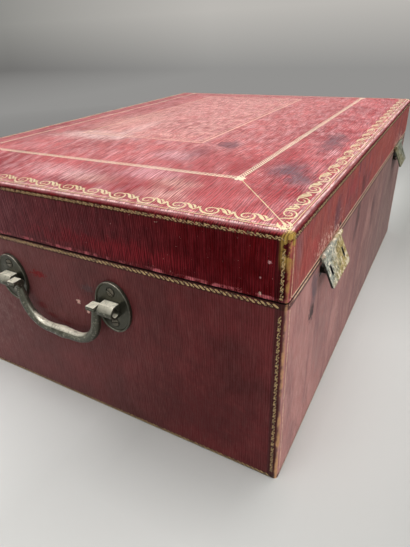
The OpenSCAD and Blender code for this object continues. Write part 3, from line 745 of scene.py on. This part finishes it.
def old_metal(name, main, dark, bright, roughness):
    """Cast brass with a skin of tarnish, rubbed bright in patches and flecks, with painted highlight on faces
    turned up and painted shade on faces turned down.
    """
    material, tree, shader, at = new_material(name)
    patch = put(tree, "TexNoise", {"Vector": at.place, "Scale": 0.09, "Detail": 6.0, "Roughness": 0.65})
    fleck = put(tree, "TexNoise", {"Vector": at.place, "Scale": 1 / 3, "Detail": 7.0, "Roughness": 0.7})
    # Grime lies in the dished faces of the handle plates and in patches, and faces turned down are darkened as
    # painted shade
    outside = put(tree, "Math", {0: at.out_x, 1: HALF_X}, operation="GREATER_THAN")
    low = combine(tree, (at.out_x, 242.65, 242.25, 0.9), outside)
    grime_and_shade = combine(tree, (patch, 0.45, 0.62, 0.7), low, (at.facing[2], 0.5, 0.05, 0.75), how="MAXIMUM")
    # Raised brass is rubbed in flecks, and faces turned up are bright, partly rubbed by hands and dusters and
    # partly painted highlight
    raised = combine(tree, (low, 0.0, 1.0, 0.0, 1.0))
    upper = combine(tree, (at.facing[2], 0.6, 0.88), raised, (fleck, 0.36, 0.5, 1.0, 0.5))
    flecks = combine(tree, (fleck, 0.56, 0.68, 0.4), raised)
    rubbed = combine(tree, flecks, upper, how="MAXIMUM")
    feed(tree, shader, {
        "Base Color": paint(tree, main, [(dark, grime_and_shade), (bright, rubbed)]),
        "Metallic": combine(tree, (upper, 0.0, 1.0, 0.15, 0.75)),
        "Roughness": combine(tree, (fleck, 0.35, 0.7, roughness, roughness + 0.2)),
        "Normal": put(tree, "Bump", {"Height": fleck, "Strength": 0.6, "Distance": 0.15 * MM}),
    })
    return material


def pitted_gilding(name, gilt):
    """Hasp brass: silvery remains above, olive gold below, flecked white and pitted dark, with painted shade on
    its edges and in its slots.
    """
    material, tree, shader, at = new_material(name)
    wander = put(tree, "TexNoise", {"Vector": at.place, "Scale": 0.16, "Detail": 6.0, "Roughness": 0.75})
    fine = put(tree, "TexNoise", {"Vector": at.place, "Scale": 0.26, "Detail": 8.0, "Roughness": 0.78})
    # The silver gives way to gold towards the box's middle and the hasp's lower edge
    slant = put(tree, "Math", {0: at.out_x, 1: at.z}, operation="ADD")
    slant = put(tree, "Math", {0: wander, 1: 70.0, 2: slant}, operation="MULTIPLY_ADD")
    layers = [
        (bpy.context.scene.box_colours.hasp, (slant, 322.0, 344.0)),
        ("fff4de", (fine, 0.52, 0.56, 0.95)),
        ("2a2416", (fine, 0.45, 0.41, 0.85)),
        # The thickness of the plate is painted black: painted shade on its edge and in the gap behind it
        ("1c150c", (at.side, 0.5, 0.8, 0.95), (at.z, 146.0, 144.0)),
    ]
    # The slots are painted black inside: painted shade in the holes
    for slot_x in (141.0, 172.0):
        wide, tall = stripe(tree, at.out_x, slot_x, 1.7, 0.5), stripe(tree, at.z, 137.1, 3.0, 0.6)
        layers.append(("0f0c08", wide, tall))
    # The far hasp is tarnished grey-green
    layers.append(("565e4c", (at.x, -20.0, 20.0, 0.7)))
    feed(tree, shader, {
        "Base Color": paint(tree, gilt, layers),
        "Metallic": 0.45,
        "Roughness": combine(tree, (fine, 0.35, 0.6, 0.35, 0.65)),
        "Normal": put(tree, "Bump", {"Height": fine, "Strength": 1.0, "Distance": 0.9 * MM}),
    })
    return material


def planed_wood(name, pale, ring):
    """Planed boards with their year rings, for the case inside the leather."""
    material, tree, shader, at = new_material(name)
    drawn = put(tree, "Mapping", {"Vector": at.place, "Scale": (0.01, 0.16, 0.16)})
    rings = put(tree, "TexNoise", {"Vector": drawn, "Scale": 1.0, "Detail": 6.0, "Distortion": 1.5})
    feed(tree, shader, {
        "Base Color": paint(tree, pale, [(ring, rings)]),
        "Roughness": 0.6,
        "Normal": put(tree, "Bump", {"Height": rings, "Strength": 0.3, "Distance": 0.2 * MM}),
    })
    return material


def cloth(name, main, dark, thread_mm, roughness, sheen):
    """Plain woven cloth glued down: threads cross at right angles, with soft rubbed clouds."""
    material, tree, shader, at = new_material(name)
    threads = []
    for way in (at.x, at.y, at.z):
        # The threads are drawn several times too coarse, so that they show
        turns = combine(tree, way, math.pi / thread_mm)
        wave = put(tree, "Math", {0: turns}, operation="SINE")
        threads.append(put(tree, "Math", {0: wave}, operation="ABSOLUTE"))
    weave = combine(tree, (combine(tree, *threads, how="ADD"), 0.0, 3.0))
    cloud = put(tree, "TexNoise", {"Vector": at.place, "Scale": 0.02, "Detail": 6.0, "Roughness": 0.7})
    shade = combine(tree, (weave, 0.0, 1.0, 1.15, 0.7))
    shaded = {0: 1.0, 6: paint(tree, main, [(dark, cloud)]), 7: shade}
    feed(tree, shader, {
        "Base Color": put(tree, "Mix", shaded, data_type="RGBA", blend_type="MULTIPLY"),
        "Roughness": roughness,
        "Sheen Weight": sheen,
        "Normal": put(tree, "Bump", {"Height": weave, "Strength": 0.4, "Distance": 0.15 * MM}),
    })
    return material


def studio_paper(name, upright):
    """Matt studio paper: pale round the box, and in the distance one seamless plain grey."""
    material, tree, shader, at = new_material(name)
    # The distance, from the far left, where it is darker, to the right
    right = combine(tree, (at.y, 4000.0, 1600.0))
    foot = paint(tree, "737270", [("939290", right)])
    head = paint(tree, "8f8e8a", [("bbb8b3", right)])
    far = paint(tree, foot, [(head, (at.z, 20.0, 420.0))])
    # Distance from the camera's own foot on the floor
    offset = put(tree, "VectorMath", {0: at.place, 1: (-430, -240, 0)}, operation="SUBTRACT")
    away = put(tree, "VectorMath", {0: offset}, operation="LENGTH")
    ahead = combine(tree, (at.y, -150.0, -330.0, 0.8))
    layers = [
        # The sheet greys with distance from the camera: painted fall-off of the light
        ("d8d7d3", (away, 200, 480)),
        ("d0cfca", (away, 480, 800)),
        ("939290", (away, 800, 1600)),
        # In front of the box the sheet is a little greyer: painted shade
        ("9b9c99", ahead),
        ("6f706d", ahead, (away, 380.0, 680.0)),
        # Painted light beside the box's left end, painted shadow at its foot and painted shade past its far corner
        ("f4f3ef", stripe(tree, at.y, 150.0, 80.0, 100.0, 0.45), (at.x, -180.0, -230.0)),
        ("9a9995", stripe(tree, at.y, -110.0, 45.0, 40.0, 0.35), (at.x, -310.0, -262.0)),
        ("85847f", stripe(tree, at.y, -300.0, 100.0, 35.0, 0.45), (at.x, -40.0, 260.0)),
    ]
    fibre = put(tree, "TexNoise", {"Vector": at.place, "Scale": 0.4, "Detail": 4.0})
    feed(tree, shader, {
        "Base Color": paint(tree, "cbcac6", layers),
        "Roughness": 0.9,
        "Normal": put(tree, "Bump", {"Height": fibre, "Strength": 0.1, "Distance": 0.2 * MM}),
    })
    # The plain distance shows to the camera, and in metal, without lighting the box
    shown = seen(tree) if upright else combine(tree, seen(tree), (away, 900.0, 2200.0))
    plain = put(tree, "Emission", {"Color": far})
    both = put(tree, "MixShader", {0: shown, 1: shader, 2: plain})
    feed(tree, tree.nodes["Material Output"], {"Surface": both})
    return material


def finish(name):
    """A finish by name, made once and then shared."""
    made = bpy.data.materials.get(name)
    if made:
        return made
    look = bpy.context.scene.box_colours
    makers = {
        # Faded goatskin of the lid's top: pink, with dark damp stains and pearly streaks, partly rubbed and partly
        # painted sheen
        "long_grain_goatskin_faded": (
            goatskin, look.top, "922630", "d29c9e", "a8873f", 0.38, 0.5, 1.4, top_layers, TOP_MARKS, 189.0
        ),
        # Goatskin of the lid's rim: deep crimson and still glossy
        "long_grain_goatskin_crimson": (
            goatskin, look.rim, "46040a", "7c2229", "9e7844", 0.4, 0.04, 1.15, rim_layers, RIM_MARKS
        ),
        # Goatskin of the body: browned on the ends, bleached on the front and paler there with painted sheen
        "long_grain_goatskin_browned": (
            goatskin, look.body, "521a1b", "7e4644", "c4946a", 0.45, 0.18, 0.45, body_layers, BODY_MARKS
        ),
        # Gold leaf of the top: cream where light falls on it
        "worn_gold_leaf": (gold_leaf, look.gold, "dfcd96", "a8504f", 0.55),
        # Gold leaf of the frame: the best kept, nearly white in the light
        "bright_gold_leaf": (gold_leaf, "fff3d8", "fae6c6", "c07a70", 0.62),
        # Gold lines of the inner panel, nearly rubbed away
        "faint_gold_leaf": (gold_leaf, "f4ccb4", "e2b0a0", "cc8880", 0.5),
        # Gold of the sides: olive, broken and burnt brown
        "olive_gold_leaf": (gold_leaf, "e8c890", "a68450", "2e1a14", 0.49),
        # Lines along the seam: pinkish, ragged remains of gold
        "seam_gold_leaf": (gold_leaf, "f8deba", "e4b494", "b06a5e", 0.5),
        # Handle brass: grey-green tarnish, rubbed silvery along the grip, with painted highlight on faces turned
        # up
        "aged_cast_brass": (old_metal, look.brass, "38372d", "fff8e2", 0.24),
        # Screws: brass gone dark, with bright rims, rubbed and with painted highlight on faces turned up
        "blackened_brass": (old_metal, "8a8474", "4a443a", "d0c8b4", 0.3),
        # Keepers: brass painted nearly black as the shadow behind the hasps
        "sooty_brass": (old_metal, "38322a", "1e1b17", "5c5546", 0.45),
        # Hinges: dull yellow brass
        "dull_yellow_brass": (old_metal, "a08a52", "6b5a34", "d8c48c", 0.35),
        # Hasps: gilt brass, silvery, flecked and deeply pitted
        "pitted_gilt_brass": (pitted_gilding, "c0a866"),
        # Pine: pale yellow boards with brown rings
        "planed_pine": (planed_wood, look.pine, "8f6536"),
        # Silk: a soft sheen over fine threads
        "plain_green_silk": (cloth, look.silk, "39473a", 0.8, 0.55, 0.4),
        # Buckram: coarse dark bookcloth under the box
        "brown_buckram": (cloth, "4a3330", "2f201f", 1.2, 0.9, 0.1),
    }
    maker, *values = makers[name]
    return maker(name, *values)


class BOX_OT_stage(bpy.types.Operator):
    """Sets up the camera, the paper floor and backdrop, and the soft lamps"""

    bl_idname = "leather_box.stage"
    bl_label = "Stage"

    def execute(self, context):
        scene = context.scene
        scene.view_settings.view_transform = "Standard"
        turn = [math.radians(a) for a in (60.828, 2.153, -61.129)]
        bpy.ops.object.camera_add(location=(-0.4304, -0.2368, 0.2780), rotation=turn)
        camera = scene.camera = context.active_object
        camera.name = "camera"
        camera.data.lens = 28.45
        camera.data.clip_start, camera.data.clip_end = 0.01, 50

        for name, place, tilt, paper in (
            ("floor", (0, 0, 0), 0, "pale_grey_paper"),
            ("backdrop", (3.0, 1.2, 8), -90, "grey_backdrop_paper"),
        ):
            bpy.ops.mesh.primitive_plane_add(size=16, location=place, rotation=(0, math.radians(tilt), 0))
            sheet = context.active_object
            sheet.name = name
            bpy.ops.object.transform_apply(location=True, rotation=True, scale=True)
            sheet.data.materials.append(studio_paper(paper, name == "backdrop"))

        for name, place, target, size, watts in (
            ("overhead", (0.1, -0.3, 1.5), (0, 0, 0.1), 1.4, 24),
            ("front_window", (-0.5, -1.7, 0.9), (-0.1, 0, 0.1), 1.2, 12),
            ("left_window", (-0.85, 0.1, 1.6), (-0.2, 0, 0.1), 0.7, 5),
        ):
            bpy.ops.object.light_add(type="AREA", location=place)
            lamp = context.active_object
            lamp.name = name
            lamp.data.size, lamp.data.energy = size, watts
            lamp.rotation_euler = (Vector(target) - Vector(place)).to_track_quat("-Z", "Y").to_euler()
        scene.world = bpy.data.worlds.new("room")
        scene.world.use_nodes = True
        air = scene.world.node_tree
        glow = air.nodes["Background"]
        feed(air, glow, {"Color": linear("dfe3e6"), "Strength": 0.3})
        # Past the paper the camera sees the same plain grey
        plain = put(air, "Background", {"Color": linear("b7b4af")})
        both = put(air, "MixShader", {0: seen(air), 1: glow, 2: plain})
        feed(air, air.nodes["World Output"], {"Surface": both})
        return {"FINISHED"}


class BOX_OT_boards(bpy.types.Operator):
    """Gives the pine boards and the plain brass of the CAD their finishes"""

    bl_idname = "leather_box.boards"
    bl_label = "Boards"

    def execute(self, context):
        slots = {
            "pine": "planed_pine",
            "old_brass": "dull_yellow_brass",
            "gilt_brass": "pitted_gilt_brass",
            "handle_brass": "aged_cast_brass",
            "screw_brass": "blackened_brass",
            "body_leather": "long_grain_goatskin_browned",
            "rim_leather": "long_grain_goatskin_crimson",
            "top_leather": "long_grain_goatskin_faded",
            "lining": "plain_green_silk",
            "bottom_cloth": "brown_buckram",
        }
        for part in frame["record"]["subparts"]:
            node = frame["nodes"][part["node"]]
            node.data.materials.clear()
            node.data.materials.append(finish(slots[part["material_slot"]]))
        return {"FINISHED"}


class BOX_OT_leather(bpy.types.Operator):
    """Lays the leather over the body and the lid, swollen and worn down at the edges"""

    bl_idname = "leather_box.leather"
    bl_label = "Leather"

    def execute(self, context):
        sizes = context.scene.box_leather
        for node, name, body, slot, skin in (
            ("body_leather", "body_goatskin", "box", "body_leather", "long_grain_goatskin_browned"),
            ("lid_top_leather", "lid_top_goatskin", "lid", "top_leather", "long_grain_goatskin_faded"),
            ("lid_rim_leather", "lid_rim_goatskin", "lid", "rim_leather", "long_grain_goatskin_crimson"),
        ):
            worn(node, name, body, skin, sizes.cell / MM, 55, sizes.swell, sizes.edge_wear)
        return {"FINISHED"}


class BOX_OT_linings(bpy.types.Operator):
    """Lines the inside with silk and the underside with cloth, slightly puckered"""

    bl_idname = "leather_box.linings"
    bl_label = "Linings"

    def execute(self, context):
        for node, name, body, slot, look, depth_mm in (
            ("body_lining", "body_silk", "box", "lining", "plain_green_silk", 0.5),
            ("lid_lining", "lid_silk", "lid", "lining", "plain_green_silk", 0.5),
            ("bottom_cover", "bottom_buckram", "box", "bottom_cloth", "brown_buckram", 0.15),
        ):
            worn(node, name, body, look, 14, 40, depth_mm * MM)
        return {"FINISHED"}


def scroll_motif():
    """One repeat of the scroll roll: a spiral, and three leaves that lead to the next one."""
    motif = join([
        ribbon(
            [(-3.0, 8.2), (-1.0, 6.4), (0.7, 3.2), (3.4, 0.9), (6.9, 0.4), (10.0, 2.3), (11.0, 5.6)]
            + [(9.4, 8.7), (6.2, 9.4), (3.6, 7.6), (3.5, 4.8), (5.5, 3.3), (7.5, 4.3), (7.6, 6.0)],
            [0.4, 1.0, 1.3, 1.5, 1.4, 1.2, 1.1, 1.0, 0.9, 0.9, 0.9, 0.8, 0.8, 0.5],
        ),
        ribbon([(8.6, 9.6), (11.0, 9.9), (13.4, 8.2), (15.2, 5.4), (17.4, 3.4)], [0.4, 1.2, 2.1, 2.3, 0.5]),
        ribbon([(14.4, 9.6), (16.0, 9.0), (17.6, 6.8), (18.2, 5.0)], [0.4, 1.2, 1.7, 0.4]),
        ribbon([(17.0, 2.6), (18.6, 4.0), (19.6, 6.4), (21.0, 8.6)], [0.4, 1.3, 1.6, 0.4]),
    ])
    stretch(motif, (1, 0.76, 1))
    return motif


def curl_motif(pitch):
    """One repeat of the vine roll: a waving vine with a leaf in each hollow."""
    half = pitch / 2
    wave = [(0, 0.8), (pitch / 4, 2.2), (half, 4.0), (pitch * 3 / 4, 2.6), (pitch, 0.8)]
    motif = join([
        ribbon(wave, [0.7, 0.9, 1.0, 0.9, 0.7], 2),
        ribbon([(0.2, 2.6), (0.9, 3.9), (0.4, 4.9)], [0.5, 1.5, 0.4], 2),
        ribbon([(half + 0.3, 2.3), (half - 0.3, 1.0), (half + 0.5, 0.2)], [0.5, 1.5, 0.4], 2),
    ])
    stretch(motif, (1, 0.47, 1))
    return motif


def side_frame(sign_x, sign_y, heading, inset_mm):
    """Start point and run length of a line round the lid at this inset."""
    half_x, half_y = HALF_X - inset_mm, HALF_Y - inset_mm
    return (sign_x * half_x, sign_y * half_y), 2 * (half_x if heading % 180 == 0 else half_y)


class BOX_OT_lid_tooling(bpy.types.Operator):
    """Tools the lid's top in gold: scroll roll, lines, rope frame, mitres and corner knots"""

    bl_idname = "leather_box.lid_tooling"
    bl_label = "Lid tooling"

    def execute(self, context):
        sizes = context.scene.box_tooling
        frame_inset, panel_inset = sizes.frame_inset / MM, sizes.panel_inset / MM
        diagonal = frame_inset * math.sqrt(2)
        scroll, bead = scroll_motif(), disc((0, 0), 0.9, 6)
        strand = ribbon([(0.0, 0.0), (0.9, 0.2), (1.9, 1.1), (2.6, 1.5)], [0.4, 1.1, 1.1, 0.4])
        groups = {"scroll_roll": [], "rope_frame": [], "gold_lines": [], "panel_lines": []}

        def lay(group, piece, place, heading, along=0.0):
            turn = math.radians(heading)
            above = LID_HIGH.z / MM + 5
            start = (place[0] + along * math.cos(turn), place[1] + along * math.sin(turn), above)
            settle(piece, start, (0, 0, heading))
            groups[group].append(piece)

        for side in SIDES:
            sx, sy, heading = side

            def roll(group, motif, inset_mm, pitch, margin_mm, along):
                place, run = side_frame(*side, inset_mm)
                run -= margin_mm
                lay(group, row_of(motif, round(run / (pitch / MM)), run), place, heading, along)

            def line(group, inset_mm, width_mm):
                place, run = side_frame(*side, inset_mm)
                lay(group, flat_line(run, width_mm, CUTS), place, heading)

            # The scroll roll starts close to the corner spray
            roll("scroll_roll", scroll, sizes.scroll_inset / MM, sizes.scroll_pitch, 18, 9.5)
            line("gold_lines", sizes.fillet_inset / MM, 0.45)
            roll("rope_frame", strand, frame_inset, sizes.rope_pitch, 6, 3)
            line("rope_frame", frame_inset + 2.3, 0.4)
            line("rope_frame", frame_inset - 0.8, 0.5)
            line("panel_lines", panel_inset, 1.6)
            line("panel_lines", panel_inset + 3.6, 0.6)
            roll("panel_lines", bead, panel_inset + 15, sizes.bead_pitch, 0, 0)

            # Mitre line, corner spray and knot, drawn along the diagonal from the corner
            corner = (sx * HALF_X, sy * HALF_Y)
            lay("gold_lines", flat_line(diagonal - 16, 0.6, 12), corner, heading + 45, 13)
            spray = [ribbon([(3, 0), (6, 0.3), (10, -0.2), (15, 0)], [0.8, 2.4, 1.8, 0.5])]
            for s in (1, -1):
                frond = [(5, s * 0.8), (7, s * 2.6), (10, s * 3.4), (13, s * 2.4)]
                spray.append(ribbon(frond, [0.5, 1.8, 1.6, 0.4]))
            lay("scroll_roll", join(spray), corner, heading + 45)
            knot = [disc((diagonal, 0), 1.4, 10)]
            for x, y in ((2.2, 0), (0, 2.2), (-2.2, 0), (0, -2.2)):
                knot.append(disc((diagonal + x, y), 1.6, 10))
            lay("rope_frame", join(knot), corner, heading + 45)
        clear(scroll, strand, bead)
        leaves = {"panel_lines": "faint_gold_leaf", "rope_frame": "bright_gold_leaf"}
        for name, pieces in groups.items():
            gold = join(pieces)
            tool_on(gold, bpy.data.objects["lid_top_goatskin"], True)
            dress(gold, name, "lid", leaves.get(name, "worn_gold_leaf"))
        return {"FINISHED"}


class BOX_OT_side_tooling(bpy.types.Operator):
    """Tools the sides in gold: rolls along the rim, the seam, the foot and the upright edges"""

    bl_idname = "leather_box.side_tooling"
    bl_label = "Side tooling"

    def execute(self, context):
        sizes = context.scene.box_tooling
        pitch = sizes.curl_pitch / MM
        curl = curl_motif(pitch)
        stroke = ribbon([(-0.4, 2.3), (0.6, 1.9), (2.7, 0.5), (3.6, 0.1)], [0.5, 1.2, 1.3, 0.5], 2)
        skins = [bpy.data.objects["lid_rim_goatskin"], bpy.data.objects["lid_top_goatskin"]]
        lid_skin = join([twin(skin, "lid_skin") for skin in skins])
        groups = {"lid_side_rolls": [], "body_side_rolls": [], "lid_side_lines": [], "body_side_lines": []}
        for sx, sy, heading in SIDES:
            turn = math.radians(heading)
            corner = Vector((sx * BODY_HIGH.x, sy * BODY_HIGH.y, 0)) / MM
            onward = Vector((math.cos(turn), math.sin(turn), 0))
            outward = Vector((math.sin(turn), -math.cos(turn), 0)) * 0.3
            run = side_frame(sx, sy, heading, 0)[1]

            def lay(group, piece, along, level, upright=False):
                if upright:
                    settle(piece, turn=(0, 0, 90))
                place = corner + onward * along + outward + Vector((0, 0, level))
                settle(piece, place, (90, 0, heading))
                groups[group].append(piece)

            # Vine roll round the lid, just below its rounded edge
            lay("lid_side_rolls", row_of(curl, round((run - 8) / pitch), run - 8), 4, RIM_ROLL)
            if heading % 180 == 90:
                # The ends have strokes below the seam and at the foot, and upright rolls by the corners
                count = round((run - 10) / (sizes.stroke_pitch / MM))
                for level in (SEAM_ROLL, FOOT_ROLL):
                    lay("body_side_rolls", row_of(stroke, count, run - 10), 5, level)
                for at in (7.6, run - 2.8):
                    lay("lid_side_rolls", row_of(curl, round(30 / pitch), 30), at, 149.5, True)
                    lay("body_side_rolls", row_of(curl, round(132 / pitch), 132), at - 0.4, 7, True)
            else:
                # The long sides have thin lines along the seam, at the foot and by each corner
                lay("body_side_lines", flat_line(run - 6, 1.3, CUTS), 3, BODY_LINE)
                lay("lid_side_lines", flat_line(run - 6, 1.3, CUTS), 3, LID_LINE)
                lay("body_side_lines", flat_line(run - 6, 0.7, CUTS), 3, FOOT_LINE)
                for at in (4.4, run - 4.4):
                    lay("body_side_lines", flat_line(134, 0.8, 20), at, 8, True)
                    lay("lid_side_lines", flat_line(30, 0.8, 6), at, 150.5, True)
        for name, pieces in groups.items():
            gold = join(pieces)
            leaf = "olive_gold_leaf" if name.endswith("rolls") else "seam_gold_leaf"
            if name.startswith("lid"):
                tool_on(gold, lid_skin, False)
                dress(gold, name, "lid", leaf)
            else:
                tool_on(gold, bpy.data.objects["body_goatskin"], False)
                dress(gold, name, "box", leaf)
        clear(curl, stroke, lid_skin)
        return {"FINISHED"}


def cylinder(radius_mm, depth_mm, place, turn=(0, 0, 0), sides=48):
    """A cylinder to start from, in millimetres and degrees."""
    bpy.ops.object.select_all(action="DESELECT")
    bpy.ops.mesh.primitive_cylinder_add(vertices=sides, radius=radius_mm * MM, depth=depth_mm * MM)
    piece = bpy.context.active_object
    settle(piece, place, turn)
    return piece


def block(size_mm, place):
    """A cuboid to start from, in millimetres."""
    bpy.ops.object.select_all(action="DESELECT")
    bpy.ops.mesh.primitive_cube_add(size=1)
    piece = bpy.context.active_object
    piece.scale = Vector(size_mm) * MM
    settle(piece, place)
    return piece


class BOX_OT_handles(bpy.types.Operator):
    """Casts the drop handles: arms with flat stop nibs, bends and a swelling bar"""

    bl_idname = "leather_box.handles"
    bl_label = "Handles"

    def execute(self, context):
        sizes = context.scene.box_brass
        pivot = HANDLE_PIVOT
        arm_y, bar_z, reach = 40.4, pivot.z - 34.4, 11.2
        lean = math.radians(11.5)
        sway, drop = math.sin(lean), math.cos(lean)
        # Stations of one half in Y and Z, with the step to the curve's handle and the radius
        half = [
            ((arm_y, pivot.z), (-sway * 5, -drop * 5), sizes.arm / MM),
            ((37.25, pivot.z - 15.5), (-sway * reach, -drop * reach), 3.7),
            ((14.1, bar_z), (-reach, 0), sizes.bend / MM),
        ]
        path = half + [((0, bar_z), (-5, 0), sizes.bar / MM)]
        path += [((-y, z), (dy, -dz), radius) for (y, z), (dy, dz), radius in reversed(half)]
        bpy.ops.curve.primitive_bezier_curve_add(location=(0, 0, 0))
        line = context.active_object.data
        line.dimensions, line.resolution_u, line.bevel_resolution = "3D", 14, 6
        line.bevel_depth, line.use_fill_caps = MM, True
        points = line.splines[0].bezier_points
        points.add(len(path) - 2)
        for point, ((y, z), (dy, dz), radius) in zip(points, path):
            point.handle_left_type = point.handle_right_type = "FREE"
            point.co = Vector((pivot.x, y, z)) * MM
            point.handle_right = Vector((pivot.x, y + dy, z + dz)) * MM
            point.handle_left = Vector((pivot.x, y - dy, z - dz)) * MM
            point.radius = radius
        bpy.ops.object.convert(target="MESH")
        parts = [context.active_object]

        def nib(side_y, shifts):
            """A stop nib, with its outer vertices below these heights moved up or down."""
            piece = block((8.0, 7.6, 3.2), (pivot.x - 2.6, side_y, pivot.z + 2.2))
            for below, rise_mm in shifts:
                pick(piece, lambda p, n: p.x < pivot.x - 5 and p.z < pivot.z + below, "VERT")
                bpy.ops.transform.translate(value=(0, 0, rise_mm * MM))
                leave()
            return piece

        for y, outwards in ((arm_y, 7.3), (-arm_y, -7.3)):
            parts.append(cylinder(3.4, 7.6, (pivot.x, y, pivot.z), (90, 0, 0)))
            parts.append(cylinder(2.8, 14, (pivot.x, y + outwards, pivot.z), (90, 0, 0)))
            parts.append(nib(y, [(1, 1.7)]))
        bail = join(parts)
        modify(bail, "REMESH", mode="VOXEL", voxel_size=0.45 * MM)
        modify(bail, "SMOOTH", factor=0.5, iterations=4)
        roughen(bail, 12, 0.06 * MM)
        # The nibs' own crisp edges, over the smoothed casting
        nibs = [nib(y, [(9, -1.3), (0, 1.3)]) for y in (arm_y, -arm_y)]
        for piece in nibs:
            soften(piece, 0.35, 2)
        bail = join([bail] + nibs)
        for end, piece in (("right", mirrored(bail, "casting")), ("left", bail)):
            body, replaced = end + "_handle", [end + "_bail"]
            dress(piece, body + "_casting", body, "aged_cast_brass", replaced, 40)
        return {"FINISHED"}


class BOX_OT_plates(bpy.types.Operator):
    """Makes the oval plates with their raised rims and bored lugs, and the slotted screws"""

    bl_idname = "leather_box.plates"
    bl_label = "Handle plates"

    def execute(self, context):
        sizes = context.scene.box_brass
        wall, plate_y, screw_z = -BODY_LOW.x / MM, 51.5, 12.6
        plate = cylinder(1, 2.8, (0, 0, 1.4), sides=96)
        stretch(plate, (sizes.plate_height / MM / 2, sizes.plate_width / MM / 2, 1))
        pick(plate, lambda p, n: n.z > 0.9)
        # A raised rim, and a field that is dished towards it
        for inset_mm, rise_mm in ((0.9, 0), (0.7, -1.0), (6, 0.3)):
            bpy.ops.mesh.inset(thickness=inset_mm * MM)
            bpy.ops.transform.translate(value=(0, 0, rise_mm * MM))
        leave()
        soften(plate, 0.3, 3)
        # A box-shaped lug with its outer corners planed off, and a bore for the spigot
        lug = block((10.4, 13, 11.4), (0, 0, 6.5))
        for s in (1, -1):
            open_up(lug)
            bpy.ops.mesh.bisect(
                plane_co=(s * 5.2 * MM, 0, 8.4 * MM), plane_no=(s, 0, 1), use_fill=True, clear_outer=True
            )
            leave()
        soften(lug, 0.35, 2)
        carve(lug, cylinder(3.3, 20, (0, 0, 7), (90, 0, 0)))
        for s in (1, -1):
            carve(plate, cylinder(3.9, 2, (s * screw_z, 0, 2.0), sides=40))
        plate = join([plate, lug])
        # A slotted screw head, domed and sunk in its seat
        screw = cylinder(sizes.screw / MM, 1.7, (0, 0, 1.75), sides=40)
        soften(screw, 0.5, 4)
        carve(screw, block((8, 1.2, 1.4), (0, 0, 2.6)))
        for end, side in (("left", -1), ("right", 1)):
            screws = []
            turn = (0, 90 * side, 0)
            for row, front in (("front", -1), ("back", 1)):
                place = Vector((side * wall, front * plate_y, HANDLE_PIVOT.z))
                copy = twin(plate, "plate")
                settle(copy, place, turn)
                name, replaced = f"{end}_{row}_oval_plate", [f"{end}_{row}_handle_plate"]
                dress(copy, name, "box", "aged_cast_brass", replaced, 40)
                for up, slot_turn in ((screw_z, 75), (-screw_z, 125)):
                    head = twin(screw, "screw")
                    settle(head, turn=(0, 0, slot_turn + 20 * front))
                    settle(head, place + Vector((0, 0, up)), turn)
                    screws.append(head)
            replaced = [end + "_handle_screws"]
            dress(join(screws), end + "_slotted_screws", "box", "blackened_brass", replaced)
        clear(plate, screw)
        return {"FINISHED"}


class BOX_OT_hasps(bpy.types.Operator):
    """Wears the hasps, their hinge leaves and the keepers: pitted faces"""

    bl_idname = "leather_box.hasps"
    bl_label = "Hasps"

    def execute(self, context):
        pitting = context.scene.box_brass.pitting
        for end in ("left_", "right_"):
            for node, name, body, metal, depth in (
                ("hasp_plate", "pitted_hasp", end + "hasp", "pitted_gilt_brass", pitting),
                ("hasp_leaf", "hasp_leaf_worn", "lid", "pitted_gilt_brass", 0.12 * MM),
                ("keeper", "keeper_worn", "box", "sooty_brass", 0.12 * MM),
            ):
                worn(end + node, end + name, body, metal, 1.5, 3.5, depth)
        return {"FINISHED"}


class BOX_OT_hinges(bpy.types.Operator):
    """Softens the edges of the lid hinges"""

    bl_idname = "leather_box.hinges"
    bl_label = "Lid hinges"

    def execute(self, context):
        for end in ("left_", "right_"):
            for leaf, body in (("hinge_body_leaf", "box"), ("hinge_lid_leaf", "lid")):
                node = end + leaf
                piece = copy_of(node, True)
                soften(piece, 0.15, 2, 40)
                dress(piece, node + "_worn", body, "dull_yellow_brass", [node])
        return {"FINISHED"}


class BOX_PT_panel(bpy.types.Panel):
    """Lists the operators and their settings in the sidebar"""

    bl_label = "Document Box"
    bl_idname = "BOX_PT_panel"
    bl_space_type = "VIEW_3D"
    bl_region_type = "UI"
    bl_category = "Document Box"

    def draw(self, context):
        for operator in OPERATORS:
            self.layout.operator(operator.bl_idname)
        for group in GROUPS:
            box = self.layout.box()
            settings = getattr(context.scene, group)
            for name in settings.bl_rna.properties.keys():
                if name not in ("rna_type", "name"):
                    box.prop(settings, name)


GROUPS = {
    "box_leather": BoxLeatherSettings,
    "box_tooling": BoxToolingSettings,
    "box_brass": BoxBrassSettings,
    "box_colours": BoxColourSettings,
}
OPERATORS = [
    BOX_OT_stage,
    BOX_OT_boards,
    BOX_OT_leather,
    BOX_OT_linings,
    BOX_OT_lid_tooling,
    BOX_OT_side_tooling,
    BOX_OT_handles,
    BOX_OT_plates,
    BOX_OT_hasps,
    BOX_OT_hinges,
]


def register():
    """Registers the settings, the operators and the panel."""
    for name, group in GROUPS.items():
        bpy.utils.register_class(group)
        setattr(bpy.types.Scene, name, bpy.props.PointerProperty(type=group))
    for operator in OPERATORS:
        bpy.utils.register_class(operator)
    bpy.utils.register_class(BOX_PT_panel)


def unregister():
    """Takes them away again."""
    bpy.utils.unregister_class(BOX_PT_panel)
    for operator in reversed(OPERATORS):
        bpy.utils.unregister_class(operator)
    for name, group in GROUPS.items():
        delattr(bpy.types.Scene, name)
        bpy.utils.unregister_class(group)


def main():
    """Builds the whole scene in order."""
    register()
    bpy.ops.leather_box.stage()
    bpy.ops.leather_box.boards()
    bpy.ops.leather_box.leather()
    bpy.ops.leather_box.linings()
    bpy.ops.leather_box.lid_tooling()
    bpy.ops.leather_box.side_tooling()
    bpy.ops.leather_box.handles()
    bpy.ops.leather_box.plates()
    bpy.ops.leather_box.hasps()
    bpy.ops.leather_box.hinges()
    bpy.context.view_layer.update()


if __name__ == "__main__":
    main()
